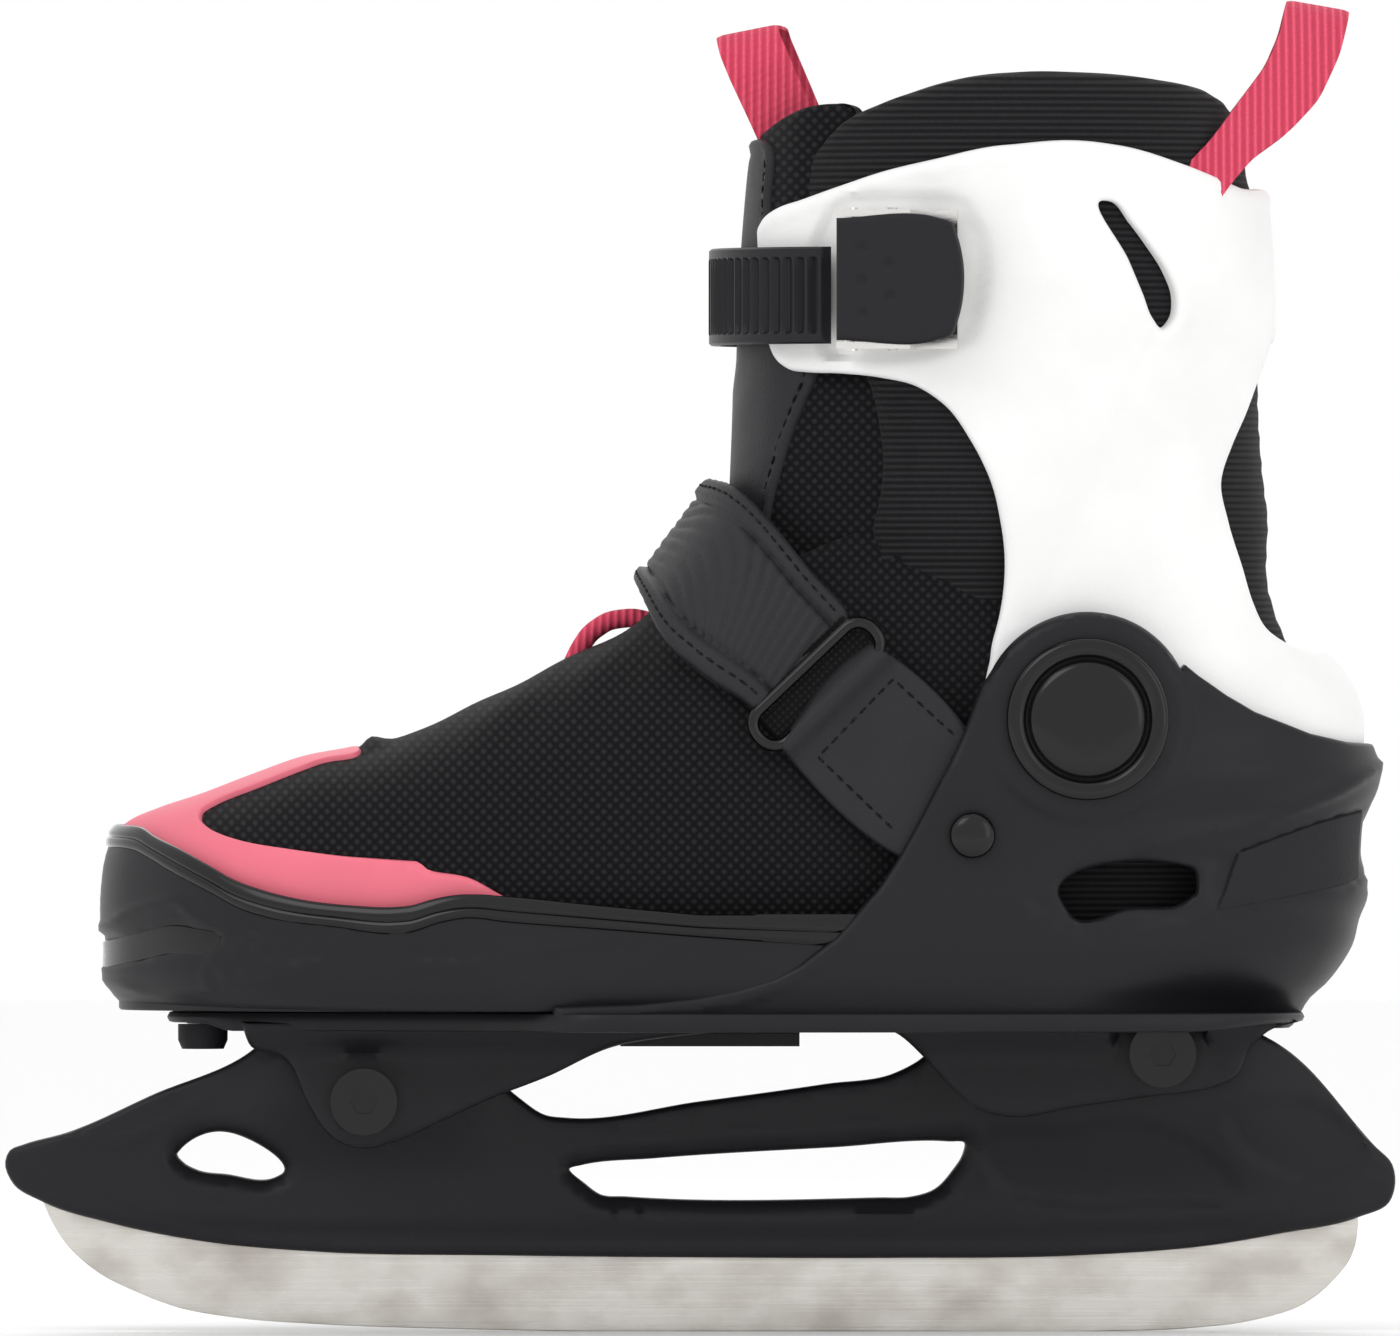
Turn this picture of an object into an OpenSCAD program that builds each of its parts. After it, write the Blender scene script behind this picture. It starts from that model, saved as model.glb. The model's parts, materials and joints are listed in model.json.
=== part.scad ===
// Recreational ice skate, left foot, toe towards -X, outer side towards -Y.
// A steel runner in a moulded holder carries a two-piece plastic shell with a
// hinged cuff, a textile upper, a padded liner, a ratchet buckle and an instep
// strap. The toe shell slides in the heel shell to change the shoe size.

/* [Blade] */
// Thickness of the steel runner
blade_t = 3.6; // [3:0.1:4.5]
// Height of the lowest blade point above the ground plane
blade_base = 0; // [0:0.1:1]

/* [Holder] */
// Width of the holder along the lower rail
rail_w = 12; // [10:0.5:14]
// Width of the two towers that the shell flanges grip
tower_w = 25; // [22:0.5:26]
// Radius of the mounting bolt shanks
bolt_r = 4; // [3:0.1:5]
// Radius of the mounting bolt heads
bolt_head_r = 6.7; // [6:0.1:8]

/* [Shell] */
// Wall thickness of the heel shell
shell_t = 2.6; // [2:0.1:3]
// Wall thickness of the toe shell
toe_t = 2.4; // [2:0.1:2.8]
// Thickness of the two flanges that hold each tower
flange_t = 4.5; // [3.5:0.1:5]

/* [Cuff] */
// Wall thickness of the cuff
cuff_t = 2.6; // [2:0.1:2.6]
// Radius of the pivot pins
pivot_r = 5; // [4:0.1:5.5]
// Radius of the round boss and of the shell round the pivot
boss_r = 21.4; // [20:0.1:22]
// Radius of the pivot cover cap
cap_r = 16.2; // [14:0.1:17]

/* [Buckle] */
// Length of the buckle lever
lever_l = 24.4; // [22:0.1:25]
// Height of the buckle lever
lever_h = 24.4; // [20:0.1:25]
// Height of the toothed ladder strap
ladder_h = 19.4; // [16:0.1:20]
// Distance between the teeth of the ladder strap
tooth_pitch = 3; // [2.5:0.1:4]

/* [Strap] */
// Thickness of one strap layer
strap_t = 1.8; // [1.4:0.1:2]
// Diameter of the ring wire
ring_wire = 2.6; // [2:0.1:2.8]

/* [Size adjuster] */
// Travel of the toe shell over five shoe sizes
toe_travel = 27; // [20:1:27]
// Radius of the locking button
button_r = 5; // [4:0.1:6]

/* [Hidden] */
$fn = 48;
CUT = 0.2;
// Cuff pivot in the side view
pivot_x = 77.4;
pivot_z = 123.2;
// Instep strap rivet in the side view
rivet_x = 54.4;
rivet_z = 100;
// Mounting bolts in the side view
front_bolt = [-67.4, 46.4];
rear_bolt = [92.8, 56];
// Lines of the soft parts that part round the cuff hinge
flex_low = 31;
flex_high = 44.5;
// Middle heights of the buckle and of the ladder strap
buckle_z = 211;
ladder_z = 207.5;
// Vertical lever pin, and the turn of the buckle towards the front
lever_x = 30;
lever_y = -46.8;
buckle_yaw = -11;
// Screw places of the buckle base and of the ladder strap
rivet_heights = [buckle_z - 6, buckle_z + 6];
base_rivet_x = 47.9;
anchor_x = 38;
// Sliding locking button under the toe
button_x = -100;

// A plate with the given outline in the side view, from y0 to y1
module side_plate(points, y0, y1) {
    translate([0, y1, 0])
        rotate([90, 0, 0])
            linear_extrude(y1 - y0)
                polygon(points);
}

// A round pin across the skate, from y0 to y1
module cross_pin(x, z, r, y0, y1) {
    translate([x, y1, z])
        rotate([90, 0, 0])
            cylinder(r = r, h = y1 - y0);
}

// The same piece on the outer and on the inner side of the foot
module both_sides() {
    children();
    mirror([0, 1, 0]) children();
}

// One quarter-wise rounded section: half width w, from z0 to z1
function section(w, z0, z1, p_low, p_top, n) = [
    for (i = [0:n - 1])
        let (a = 360 * i / n, c = cos(a), s = sin(a), p = s < 0 ? p_low : p_top)
        [
            w * sign(c) * pow(abs(c), 2 / p),
            (z0 + z1) / 2 + (z1 - z0) / 2 * sign(s) * pow(abs(s), 2 / p)
        ]
];

// Foot stations: [x, half width, sole height, ridge height, sideways shift]
foot = [
    [-114.5, 8, 82, 98, 7],
    [-111, 20, 74, 102.4, 6.5],
    [-104, 30.5, 69, 105.5, 5.5],
    [-90, 38.5, 68.2, 111, 4],
    [-70, 43, 68, 116.4, 2],
    [-54, 43.8, 68, 122, 0.8],
    [-36, 43.2, 68, 131, 0],
    [-20, 42.4, 68, 138.6, 0],
    [-9, 41.8, 68, 146, 0],
    [0, 41.2, 68, 158, 0],
    [10, 40.4, 68, 170, 0],
    [28, 39, 68, 176, 0],
    [60, 36.6, 68, 176, 0],
    [68, 36.2, 68, 176, 0]
];

module foot_slice(st, grow) {
    translate([st[0] + (st[0] < -110 ? -grow : 0), st[4], 0])
        rotate([90, 0, 90])
            linear_extrude(CUT, center = true)
                polygon(section(st[1] + grow, st[2] - grow, st[3] + grow, 3.6, 2.3, 32));
}

// The closed form of the foot, grown or shrunk all round
module foot_form(grow) {
    for (i = [0:len(foot) - 2])
        hull() {
            foot_slice(foot[i], grow);
            foot_slice(foot[i + 1], grow);
        }
}

// A layer that wraps the foot between two offsets
module foot_layer(inner, outer) {
    difference() {
        foot_form(outer);
        foot_form(inner);
    }
}

// Leg levels: [height, front, back, half width] of the cuff's outer surface
leg = [
    [109, 5, 131.4, 40],
    [119.8, 5, 133.4, 40],
    [127, 5, 132.6, 40],
    [133, 5, 129.6, 40],
    [138, 5, 124.6, 40],
    [150, 5, 120.4, 40.2],
    [166, 6, 116.4, 41],
    [184, 6.5, 115, 42.4],
    [204, 7, 115.6, 44.2],
    [222, 8, 114.6, 45],
    [240, 10, 112.6, 45]
];

// Point of a leg level at the angle a, seen from above
function leg_point(lv, grow, a) =
    let (c = cos(a), s = sin(a), e = 2 / 2.4)
    let (mid = (lv[1] + lv[2]) / 2, half = (lv[2] - lv[1]) / 2 + grow)
    [mid + half * sign(c) * pow(abs(c), e), (lv[3] + grow) * sign(s) * pow(abs(s), e)];

function leg_ring(lv, grow, n) = [for (i = [0:n - 1]) leg_point(lv, grow, 360 * i / n)];

module leg_slice(lv, grow) {
    translate([0, 0, lv[0]])
        linear_extrude(CUT, center = true)
            polygon(leg_ring(lv, grow, 40));
}

// The closed form of the leg, grown or shrunk all round
module leg_form(grow) {
    for (i = [0:len(leg) - 2])
        hull() {
            leg_slice(leg[i], grow);
            leg_slice(leg[i + 1], grow);
        }
}

module leg_layer(inner, outer) {
    difference() {
        leg_form(outer);
        leg_form(inner);
    }
}

// Half width of each shell wall, outer face, against x: [x, half width, shift]
heel_plan = [
    [-30, 51, 0], [-12, 50, 0], [28, 47.4, 0], [60, 46, 0], [90, 45.2, 0],
    [108, 42, 0], [120, 35.5, 0], [128, 27.5, 0], [133, 19, 0], [136, 9, 0], [137, 0, 0]
];
toe_plan = [
    [-120.6, 0, 7], [-119.4, 9, 7], [-116, 19.5, 6.8], [-110, 29, 6.2], [-100, 37.6, 5.2],
    [-86, 44, 3.6], [-66, 47.4, 1.6], [-40, 47.8, 0.2], [-28, 47.2, 0], [-20, 46.8, 0],
    [-5, 46, 0], [10, 45.2, 0], [28, 44.2, 0]
];

// Closed plan outline of a wall table, moved inwards by inset
module plan_outline(table, inset) {
    offset(delta = -inset)
        polygon(concat(
            [for (r = table) [r[0], r[2] - r[1]]],
            [for (i = [len(table) - 1:-1:0]) [table[i][0], table[i][2] + table[i][1]]]
        ));
}

// Upright wall of a shell between two insets of its plan outline
module plan_wall(table, thickness, z0, z1) {
    translate([0, 0, z0])
        linear_extrude(z1 - z0)
            difference() {
                plan_outline(table, 0);
                plan_outline(table, thickness);
            }
}

// ---- Blade and holder ----

blade_top = [
    [-132, 25.8], [-130, 31], [-100, 27], [-60, 24], [60, 24], [108, 26], [128, 30], [132.4, 22]
];
blade_bottom = [
    [131.8, 17.4], [128, 11], [121.6, 5.6], [112, 2.2], [98, 0.5], [80, 0], [-20, 0], [-50, 0.5],
    [-76, 1.4], [-94, 2.8], [-105, 4.8], [-114.4, 8.4], [-123.4, 13.4], [-127.8, 17.8], [-130.4, 22]
];

module blade() {
    color("silver")
        translate([0, 0, blade_base])
            side_plate(concat(blade_top, blade_bottom), -blade_t / 2, blade_t / 2);
}

holder_outline = [
    [-139.6, 34], [-138.6, 36.4], [-136, 37.4], [-127.8, 39.6], [-90, 56.4], [-86, 60.2],
    [-46, 60.2], [-38.4, 47], [-31, 43.2], [-28, 42.8], [0, 46.4], [25, 49.6], [39.4, 52], [50, 60.2],
    [110, 60.2], [114, 59], [135.6, 37.2], [139.2, 33.4], [139.8, 29.6], [138.4, 25.8],
    [132.4, 23], [116.6, 19.6], [103.8, 17.4], [75.8, 15.2], [40, 14.8], [-40, 15.2], [-76, 16],
    [-100, 18.2], [-118, 21.8], [-132, 26.2], [-138, 29.4]
];
lower_slot = [
    [-26.2, 32.6], [-9.2, 34.6], [26.6, 37], [53, 38.2], [50.8, 32.6], [47.2, 28.4], [43, 27], [-19.8, 27.2]
];
front_window = [[-105.2, 35.8], [-95.6, 40.4], [-83.8, 31], [-95.4, 31.4], [-103, 33]];
front_tower = [[-82, 60.2], [-46, 60.2], [-40, 48], [-44, 38], [-58, 33], [-74, 35]];
rear_tower = [[50, 60.2], [109, 60.2], [107, 46], [96, 40], [60, 40], [50, 46]];
slot_points = concat(
    [[-132.1, -1]],
    [for (p = blade_top) [p[0] * 1.0005, p[1] + 0.05]],
    [[132.6, -1]]
);

module bolt_hole(at) {
    cross_pin(at[0], at[1], bolt_r + 0.05, -30, 4);
    cross_pin(at[0], at[1], bolt_r + 1.55, 3.95, 30);
}

module blade_holder() {
    color([0.06, 0.06, 0.07])
        difference() {
            union() {
                difference() {
                    side_plate(holder_outline, -rail_w / 2, rail_w / 2);
                    side_plate(lower_slot, -20, 20);
                    side_plate(front_window, -20, 20);
                }
                side_plate(front_tower, -tower_w / 2, tower_w / 2);
                side_plate(rear_tower, -tower_w / 2, tower_w / 2);
            }
            side_plate(slot_points, -blade_t / 2 - 0.02, blade_t / 2 + 0.02);
            bolt_hole(front_bolt);
            bolt_hole(rear_bolt);
        }
}

flange_y = tower_w / 2 + flange_t + 0.1;

module mount_bolt(at) {
    color([0.05, 0.05, 0.05])
        difference() {
            union() {
                cross_pin(at[0], at[1], bolt_r, -flange_y - 0.5, 15);
                cross_pin(at[0], at[1], bolt_head_r, -flange_y - 4, -flange_y);
            }
            translate([at[0], -flange_y, at[1]])
                rotate([90, 0, 0])
                    translate([0, 0, 1])
                        cylinder(d = 5.6, h = 5, $fn = 6);
        }
}

module sleeve_nut(at) {
    color([0.05, 0.05, 0.05])
        difference() {
            union() {
                cross_pin(at[0], at[1], bolt_r + 1.5, 4, flange_y + 0.5);
                cross_pin(at[0], at[1], bolt_head_r, flange_y, flange_y + 3.4);
            }
            cross_pin(at[0], at[1], bolt_r + 0.03, 3, flange_y + 0.4);
        }
}

module front_bolt() { mount_bolt(front_bolt); }
module rear_bolt() { mount_bolt(rear_bolt); }
module front_nut() { sleeve_nut(front_bolt); }
module rear_nut() { sleeve_nut(rear_bolt); }

// ---- Heel shell ----

wing_outline = [
    [-27, 60.4], [-27, 65.8], [-12, 66.2], [8, 68.8], [20, 73.8], [27.6, 79.8], [32, 84.8],
    [40, 95.8], [45, 104.8], [50, 114.8], [53, 119.8], [57, 130.8], [62, 137.9], [69, 142.9],
    [77.4, 144.6], [86, 142.8], [90, 139.8], [100, 131.8], [112, 124.8], [124, 120.2],
    [132, 118.6], [138, 118.4], [138, 78], [44, 78], [44, 60.4]
];
front_flange = [
    [-84, 60.4], [-83.2, 55.4], [-76.2, 42], [-72.4, 38.2], [-67.4, 37], [-61.6, 38.2],
    [-42.4, 46.6], [-30.6, 50.6], [-17.4, 57], [0, 59], [0, 60.6], [-84, 60.6]
];
rear_flange = [
    [19.4, 60.6], [37, 60.3], [45.2, 55], [47.6, 52.4], [56, 44.8], [61.6, 43.6], [75.8, 45.4],
    [103.8, 49.6], [107.6, 50.8], [109.6, 54.4], [112, 60.6]
];
chassis_half = [
    [-106, 12], [-98, 18], [-60, 25], [-40, 34], [-27, 50.6], [-12, 49.9], [28, 47.3], [50, 46.3]
];
chassis_low = 60.4;
chassis_top = 64.4;

function mirrored(half) = concat(
    [for (p = half) [p[0], -p[1]]],
    [for (i = [len(half) - 1:-1:0]) half[i]]
);

module plan_slice(inset, z) {
    translate([0, 0, z])
        linear_extrude(CUT)
            plan_outline(heel_plan, inset);
}

// The rounded pan under the heel
module heel_pan(t) {
    intersection() {
        difference() {
            hull() {
                plan_slice(0, 79);
                plan_slice(4, 72);
                plan_slice(16, chassis_low);
            }
            hull() {
                plan_slice(t, 79.1);
                plan_slice(t + 4, 73);
                plan_slice(t + 14, chassis_low + 5);
            }
        }
        translate([44, -60, 50]) cube([100, 120, 40]);
    }
}

module heel_shell() {
    color([0.07, 0.07, 0.08])
        difference() {
            union() {
                intersection() {
                    plan_wall(heel_plan, shell_t, 58, 150);
                    side_plate(wing_outline, -60, 60);
                }
                heel_pan(shell_t);
                translate([0, 0, chassis_low])
                    linear_extrude(chassis_top - chassis_low)
                        polygon(mirrored(chassis_half));
                both_sides() {
                    side_plate(front_flange, -flange_y, -tower_w / 2 - 0.1);
                    side_plate(rear_flange, -flange_y, -tower_w / 2 - 0.1);
                    cross_pin(pivot_x, pivot_z, boss_r, -46.4, -43.4);
                }
            }
            cross_pin(pivot_x, pivot_z, pivot_r + 0.02, -60, 60);
            cross_pin(rivet_x, rivet_z, 2.45, -60, 60);
            bolt_hole(front_bolt);
            bolt_hole(rear_bolt);
            both_sides() cross_pin(rear_bolt[0], rear_bolt[1], bolt_head_r + 0.4, -30, -flange_y);
            translate([button_x, 0, 50]) cylinder(r = button_r + 0.06, h = 20);
            translate([-48, -5.3, 50]) cube([69, 10.6, 30]);
        }
}

panel_outline = [
    [109.4, 105.4], [118, 108.6], [128, 112], [133, 113.4], [133, 92], [126, 94], [103, 91]
];

module heel_side_panels() {
    color([0.1, 0.1, 0.11])
        intersection() {
            translate([0, 0, 80])
                linear_extrude(40)
                    difference() {
                        plan_outline(heel_plan, -0.8);
                        plan_outline(heel_plan, -0.02);
                    }
            side_plate(panel_outline, -60, 60);
        }
}

// ---- Toe shell ----

welt_line = [
    [-122, 102], [-116, 101.4], [-111.4, 99.4], [-105.2, 97], [-98.4, 93.6], [-93.6, 90.8],
    [-88, 88.8], [-79.8, 87], [-69.4, 85.6], [-57.8, 85.6], [-53.6, 87], [-48.8, 87.8],
    [-38.4, 87.4], [-20, 85.6], [0, 83.6], [25.2, 81.8]
];
sole_low = 64.8;
sole_high = 67.2;

module toe_shell() {
    color([0.07, 0.07, 0.08])
        union() {
            intersection() {
                plan_wall(toe_plan, toe_t, sole_low, 110);
                side_plate(concat(welt_line, [[25.2, 60], [-123, 60]]), -60, 60);
            }
            translate([0, 0, sole_low])
                linear_extrude(sole_high - sole_low)
                    intersection() {
                        plan_outline(toe_plan, 0);
                        translate([-130, -60]) square([155.2, 120]);
                    }
        }
}

// A strip on the outside of the toe shell
module toe_strip(outline, depth) {
    intersection() {
        translate([0, 0, 60])
            linear_extrude(60)
                difference() {
                    plan_outline(toe_plan, -depth);
                    plan_outline(toe_plan, -0.02);
                }
        side_plate(outline, -60, 60);
    }
}

welt_height = 3.2;

module toe_welt() {
    front = [for (p = welt_line) if (p[0] < -30) p];
    color([0.03, 0.03, 0.03])
        toe_strip(
            concat(front, [for (i = [len(front) - 1:-1:0]) front[i] - [0, welt_height]]),
            1.2
        );
}

bumper_outline = [
    [-121, 73], [-113, 71], [-101, 70], [-89, 71.4], [-79, 74], [-73, 76], [-64, 76.4], [-55, 74.8],
    [-44, 75], [-38, 76], [-31, 78.6], [-45, 81], [-62, 82.4], [-80, 82.4], [-92, 83], [-98, 80], [-121, 78]
];

module toe_bumper() {
    color([0.09, 0.09, 0.1]) toe_strip(bumper_outline, 0.9);
}

rail_x0 = -16;
rail_x1 = 20;

// Guide rail under the toe shell, held below the sole plate by its foot
module slide_rail() {
    color([0.12, 0.12, 0.13])
        union() {
            translate([rail_x0, -5, 58.4]) cube([rail_x1 - rail_x0, 10, sole_low - 58.4]);
            translate([rail_x0, -9, 57.4]) cube([rail_x1 - rail_x0, 18, 2.6]);
        }
}

module size_button() {
    color([0.1, 0.1, 0.1])
        translate([button_x, 0, 0])
            union() {
                translate([0, 0, 58.6]) cylinder(r = button_r, h = 3.2);
                translate([0, 0, 56.8]) cylinder(r1 = button_r - 0.8, r2 = button_r, h = 1.8);
            }
}

module button_spring() {
    color("silver")
        translate([button_x, 0, 0])
            for (z = [62.3, 63.2, 64.1])
                translate([0, 0, z])
                    rotate_extrude()
                        translate([3, 0])
                            circle(r = 0.4);
}

// ---- Liner, tongue and upper ----

ankle = [
    [70.6, -10, 112, 26], [75, -10, 121, 30], [90, -10, 126, 32.6], [108, -10, 127, 33.4],
    [122, -10, 127, 33.4]
];

module ankle_form(grow, lift) {
    for (i = [0:len(ankle) - 2])
        hull() {
            translate([0, 0, i == 0 ? lift : 0]) leg_slice(ankle[i], grow);
            leg_slice(ankle[i + 1], grow);
        }
}

function flex_z(x, angle, base) = base + (pivot_x - x) * tan(angle);

lower_region = [
    [-130, 60], [-130, flex_z(-130, flex_low, pivot_z)], [pivot_x, pivot_z], [pivot_x, 121],
    [140, 121], [140, 60]
];
upper_region = [
    [-10, flex_z(-10, flex_high, 125.5)], [-10, 270], [140, 270], [140, 125.5], [pivot_x, 125.5]
];
throat = 21;

insole_half = [
    [-102, 8], [-96, 16], [-86, 21], [-70, 24.5], [-54, 26], [-36, 25.5], [-20, 24], [0, 21.5],
    [20, 20.5], [60, 24], [90, 21.5], [100, 16], [105, 10], [108, 4]
];
insole_z = 78.4;
insole_t = 2.5;

module insole() {
    color([0.2, 0.2, 0.22])
        intersection() {
            translate([0, 0, insole_z])
                linear_extrude(insole_t)
                    polygon(mirrored(insole_half));
            union() {
                foot_form(-9.2);
                ankle_form(-5.4, 5);
            }
        }
}

module liner_lower() {
    color([0.12, 0.12, 0.13])
        difference() {
            intersection() {
                union() {
                    foot_form(-4.5);
                    ankle_form(0, 0);
                }
                side_plate(lower_region, -60, 60);
            }
            foot_form(-8.5);
            ankle_form(-4.6, 5);
            translate([-14.5, -throat, 131]) cube([60, 2 * throat, 60]);
        }
}

module liner_upper() {
    color([0.12, 0.12, 0.13])
        intersection() {
            difference() {
                leg_layer(-10, -5);
                translate([0, -throat, 120]) cube([42, 2 * throat, 140]);
                translate([0, -60, 120]) cube([59, 120, 43]);
            }
            side_plate(concat(
                [for (p = upper_region) [p[0], min(p[1], 213)]]
            ), -60, 60);
        }
}

collar = [[213.4, 16, 110, 40], [232, 14, 109.5, 41.6], [244, 18, 106.5, 40.4], [252, 26, 102, 36]];
collar_top = [
    [12, 213.4], [12, 230], [20, 236], [26, 243.8], [40, 248.8], [56, 252], [101, 251.6],
    [106, 245], [110, 230], [111, 213.4]
];

module collar_form(grow) {
    for (i = [0:len(collar) - 2])
        for (k = [0:1])
            hull() {
                leg_slice(collar[i], grow);
                leg_slice(collar[i + 1], grow);
            }
}

module liner_collar() {
    color([0.12, 0.12, 0.13])
        intersection() {
            difference() {
                collar_form(0);
                collar_form(-9);
                translate([0, -throat, 200]) cube([42, 2 * throat, 60]);
            }
            side_plate(collar_top, -60, 60);
        }
}

module tongue_lower() {
    color([0.1, 0.1, 0.1])
        intersection() {
            foot_layer(-8, -2.2);
            side_plate(lower_region, -throat + 0.5, throat - 0.5);
            translate([-14, -60, 131.5]) cube([40, 120, 60]);
        }
}

tongue_top = [
    [0, flex_z(0, flex_high, 125.5)], [0, 240], [12, 243], [28, 244], [28, flex_z(28, flex_high, 125.5)]
];

module tongue_upper() {
    color([0.1, 0.1, 0.1])
        intersection() {
            union() {
                leg_layer(-9.6, 0.5);
                translate([0, 0, 4]) leg_layer(-9.6, 0.5);
            }
            side_plate(tongue_top, -throat + 0.5, throat - 0.5);
        }
}

vamp_outline = [[-125, 60], [-125, 170], [-29, 170], [-12.5, 147.5], [-2, 135], [-2, 60]];

module upper_vamp() {
    color([0.08, 0.08, 0.09])
        intersection() {
            foot_layer(-1.7, 0.05);
            side_plate(vamp_outline, -60, 60);
        }
}

quarter_outline = [
    [-27.8, 170], [-11.5, 147.5], [-1, 135.4], [-1, 84], [45, 84], [45, 92], [56, 92], [56, 130],
    [58, 157], [46, 161], [30, 160], [18, 157], [6, 163], [-10, 168]
];

module upper_quarter() {
    color([0.08, 0.08, 0.09])
        difference() {
            intersection() {
                foot_layer(-1.6, 0);
                side_plate(quarter_outline, -60, 60);
                side_plate(lower_region, -60, 60);
            }
            translate([-40, -throat, 138]) cube([80, 2 * throat, 60]);
        }
}

overlay_outline = [
    [-125, 103], [-111, 100.4], [-98, 94.6], [-88, 90], [-80, 88.2], [-69, 86.8], [-58, 87],
    [-49, 89], [-38.4, 88.4], [-45, 91.6], [-55.4, 94.4], [-66, 95.4], [-81, 97], [-92, 98.8],
    [-98.4, 101.2], [-99.8, 103.2], [-95.6, 106.6], [-89.4, 109], [-79.8, 112.8], [-68.8, 114.6],
    [-68.8, 125], [-125, 125]
];

module toe_overlay() {
    color([0.85, 0.35, 0.5])
        intersection() {
            foot_layer(0.2, 1.2);
            side_plate(overlay_outline, -60, 60);
        }
}

// Short lace bridge in front of the instep strap
module instep_lace() {
    color([0.75, 0.3, 0.45])
        translate([-27, 0, 139.4])
            rotate([0, -36, 0])
                linear_extrude(5)
                    difference() {
                        circle(r = 6);
                        circle(r = 4.2);
                        translate([-10, -20]) square([10, 40]);
                    }
}

// Loop of webbing that stands up from the boot, leaning by angle
module pull_loop(x, z, angle, legs, width) {
    gap = 8;
    web = 1.4;
    translate([x, 0, z])
        rotate([0, angle, 0])
            rotate([90, 0, 90])
                translate([0, 0, -width / 2])
                    linear_extrude(width)
                        difference() {
                            intersection() {
                                union() {
                                    translate([0, legs]) circle(r = gap + web);
                                    translate([-gap - web, 0]) square([2 * (gap + web), legs]);
                                }
                                translate([-20, 0]) square([40, 80]);
                            }
                            translate([0, legs]) circle(r = gap);
                            translate([-gap, -10]) square([2 * gap, legs + 10]);
                        }
}

module tongue_loop() {
    color([0.85, 0.35, 0.5]) pull_loop(15.4, 245.6, -23.9, 5.6, 12.8);
}

module heel_loop() {
    color([0.85, 0.35, 0.5]) pull_loop(112.6, 247, 32, 13, 12.8);
}

// ---- Instep strap ----

strap_outline = [
    [31, 141.8], [5.2, 171.2], [0, 185], [-26, 170], [-14.8, 152.4], [-9.8, 145], [9.2, 123.2],
    [12.2, 122.6]
];
// Mid length of the strap's lower end and its direction along the width
ring_at = [26.8, 126.8];
ring_tilt = 43.6;
ring_long = 15.7;
ring_short = 4.2;
ring_y = -44.7;

module strap_base() {
    color([0.1, 0.1, 0.1])
        intersection() {
            foot_layer(0.5, 0.5 + strap_t);
            side_plate(strap_outline, -60, 60);
        }
}

module strap_flap() {
    color([0.3, 0.28, 0.3])
        intersection() {
            foot_layer(0.9 + strap_t, 0.9 + 2 * strap_t);
            side_plate(strap_outline, -60, -9);
        }
}

// A closed loop of wire that joins the strap to its tab
module strap_ring() {
    color([0.05, 0.05, 0.05])
        translate([ring_at[0], ring_y, ring_at[1]])
            rotate([0, -ring_tilt, 0])
                union() {
                    for (s = [-1, 1]) {
                        translate([-ring_long, 0, s * ring_short])
                            rotate([0, 90, 0])
                                cylinder(d = ring_wire, h = 2 * ring_long);
                        translate([s * ring_long, 0, -ring_short])
                            cylinder(d = ring_wire, h = 2 * ring_short);
                        for (e = [-1, 1])
                            translate([s * ring_long, 0, e * ring_short])
                                sphere(d = ring_wire);
                    }
                }
}

tab_outline = [
    [34.4, 137.8], [15.8, 118.6], [38.4, 97.2], [46, 93.4], [60, 93], [61, 104], [52.2, 121.8]
];
tab_y = -43.1;

module strap_tabs() {
    color([0.1, 0.1, 0.1])
        both_sides()
            difference() {
                side_plate(tab_outline, tab_y, tab_y + 1.6);
                cross_pin(rivet_x, rivet_z, 2.45, -60, 0);
            }
}

module strap_rivets() {
    color([0.03, 0.03, 0.03])
        both_sides() {
            cross_pin(rivet_x, rivet_z, 2.4, -46.6, -41.3);
            cross_pin(rivet_x, rivet_z, 4.6, -48.6, -46.5);
            cross_pin(rivet_x, rivet_z, 3.6, -41.4, -40.6);
        }
}

// ---- Cuff ----

cuff_outline = [
    [11.4, 221.8], [14.8, 225.4], [20, 227.4], [28.2, 230], [47.4, 235.2], [60.2, 237.8],
    [72.2, 238.8], [84.2, 237.8], [97, 234], [109, 229.6], [118, 227], [118, 199.4],
    [112.6, 192], [110, 184.8], [107, 177.8], [104.8, 171.8], [104.8, 169.8], [106.4, 162.8],
    [109, 153.8], [111.6, 145.8], [114, 141.2], [120, 137.8], [135, 136.4], [135, 109.4],
    [118, 107], [100, 104.6], [84, 103.2], [72, 103.6], [63.6, 108.6], [58, 116.4], [56.4, 124],
    [57, 130.8], [58, 135.8], [60, 144.8], [60.8, 154.8], [60, 162.8], [58, 170.8], [54, 178.8],
    [49, 185.8], [43, 189.8], [36, 191.4], [21, 192.4], [17, 193.2], [14, 195.8], [13, 199.8]
];
vent_outline = [
    [81.2, 226.6], [86.4, 221.8], [93.4, 212.6], [95.4, 208], [94.8, 203.4], [92.8, 201.4],
    [91, 203.2], [87, 212.8]
];

module cuff() {
    color("white")
        difference() {
            intersection() {
                leg_layer(-cuff_t, 0);
                side_plate(cuff_outline, -60, 60);
            }
            side_plate(vent_outline, -60, 60);
            translate([0, -throat, 100]) cube([30, 2 * throat, 150]);
            cross_pin(pivot_x, pivot_z, 8, -60, 60);
            for (z = rivet_heights) cross_pin(base_rivet_x, z, 2.6, -60, 0);
            cross_pin(anchor_x, ladder_z, 2.2, 0, 60);
        }
}

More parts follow.
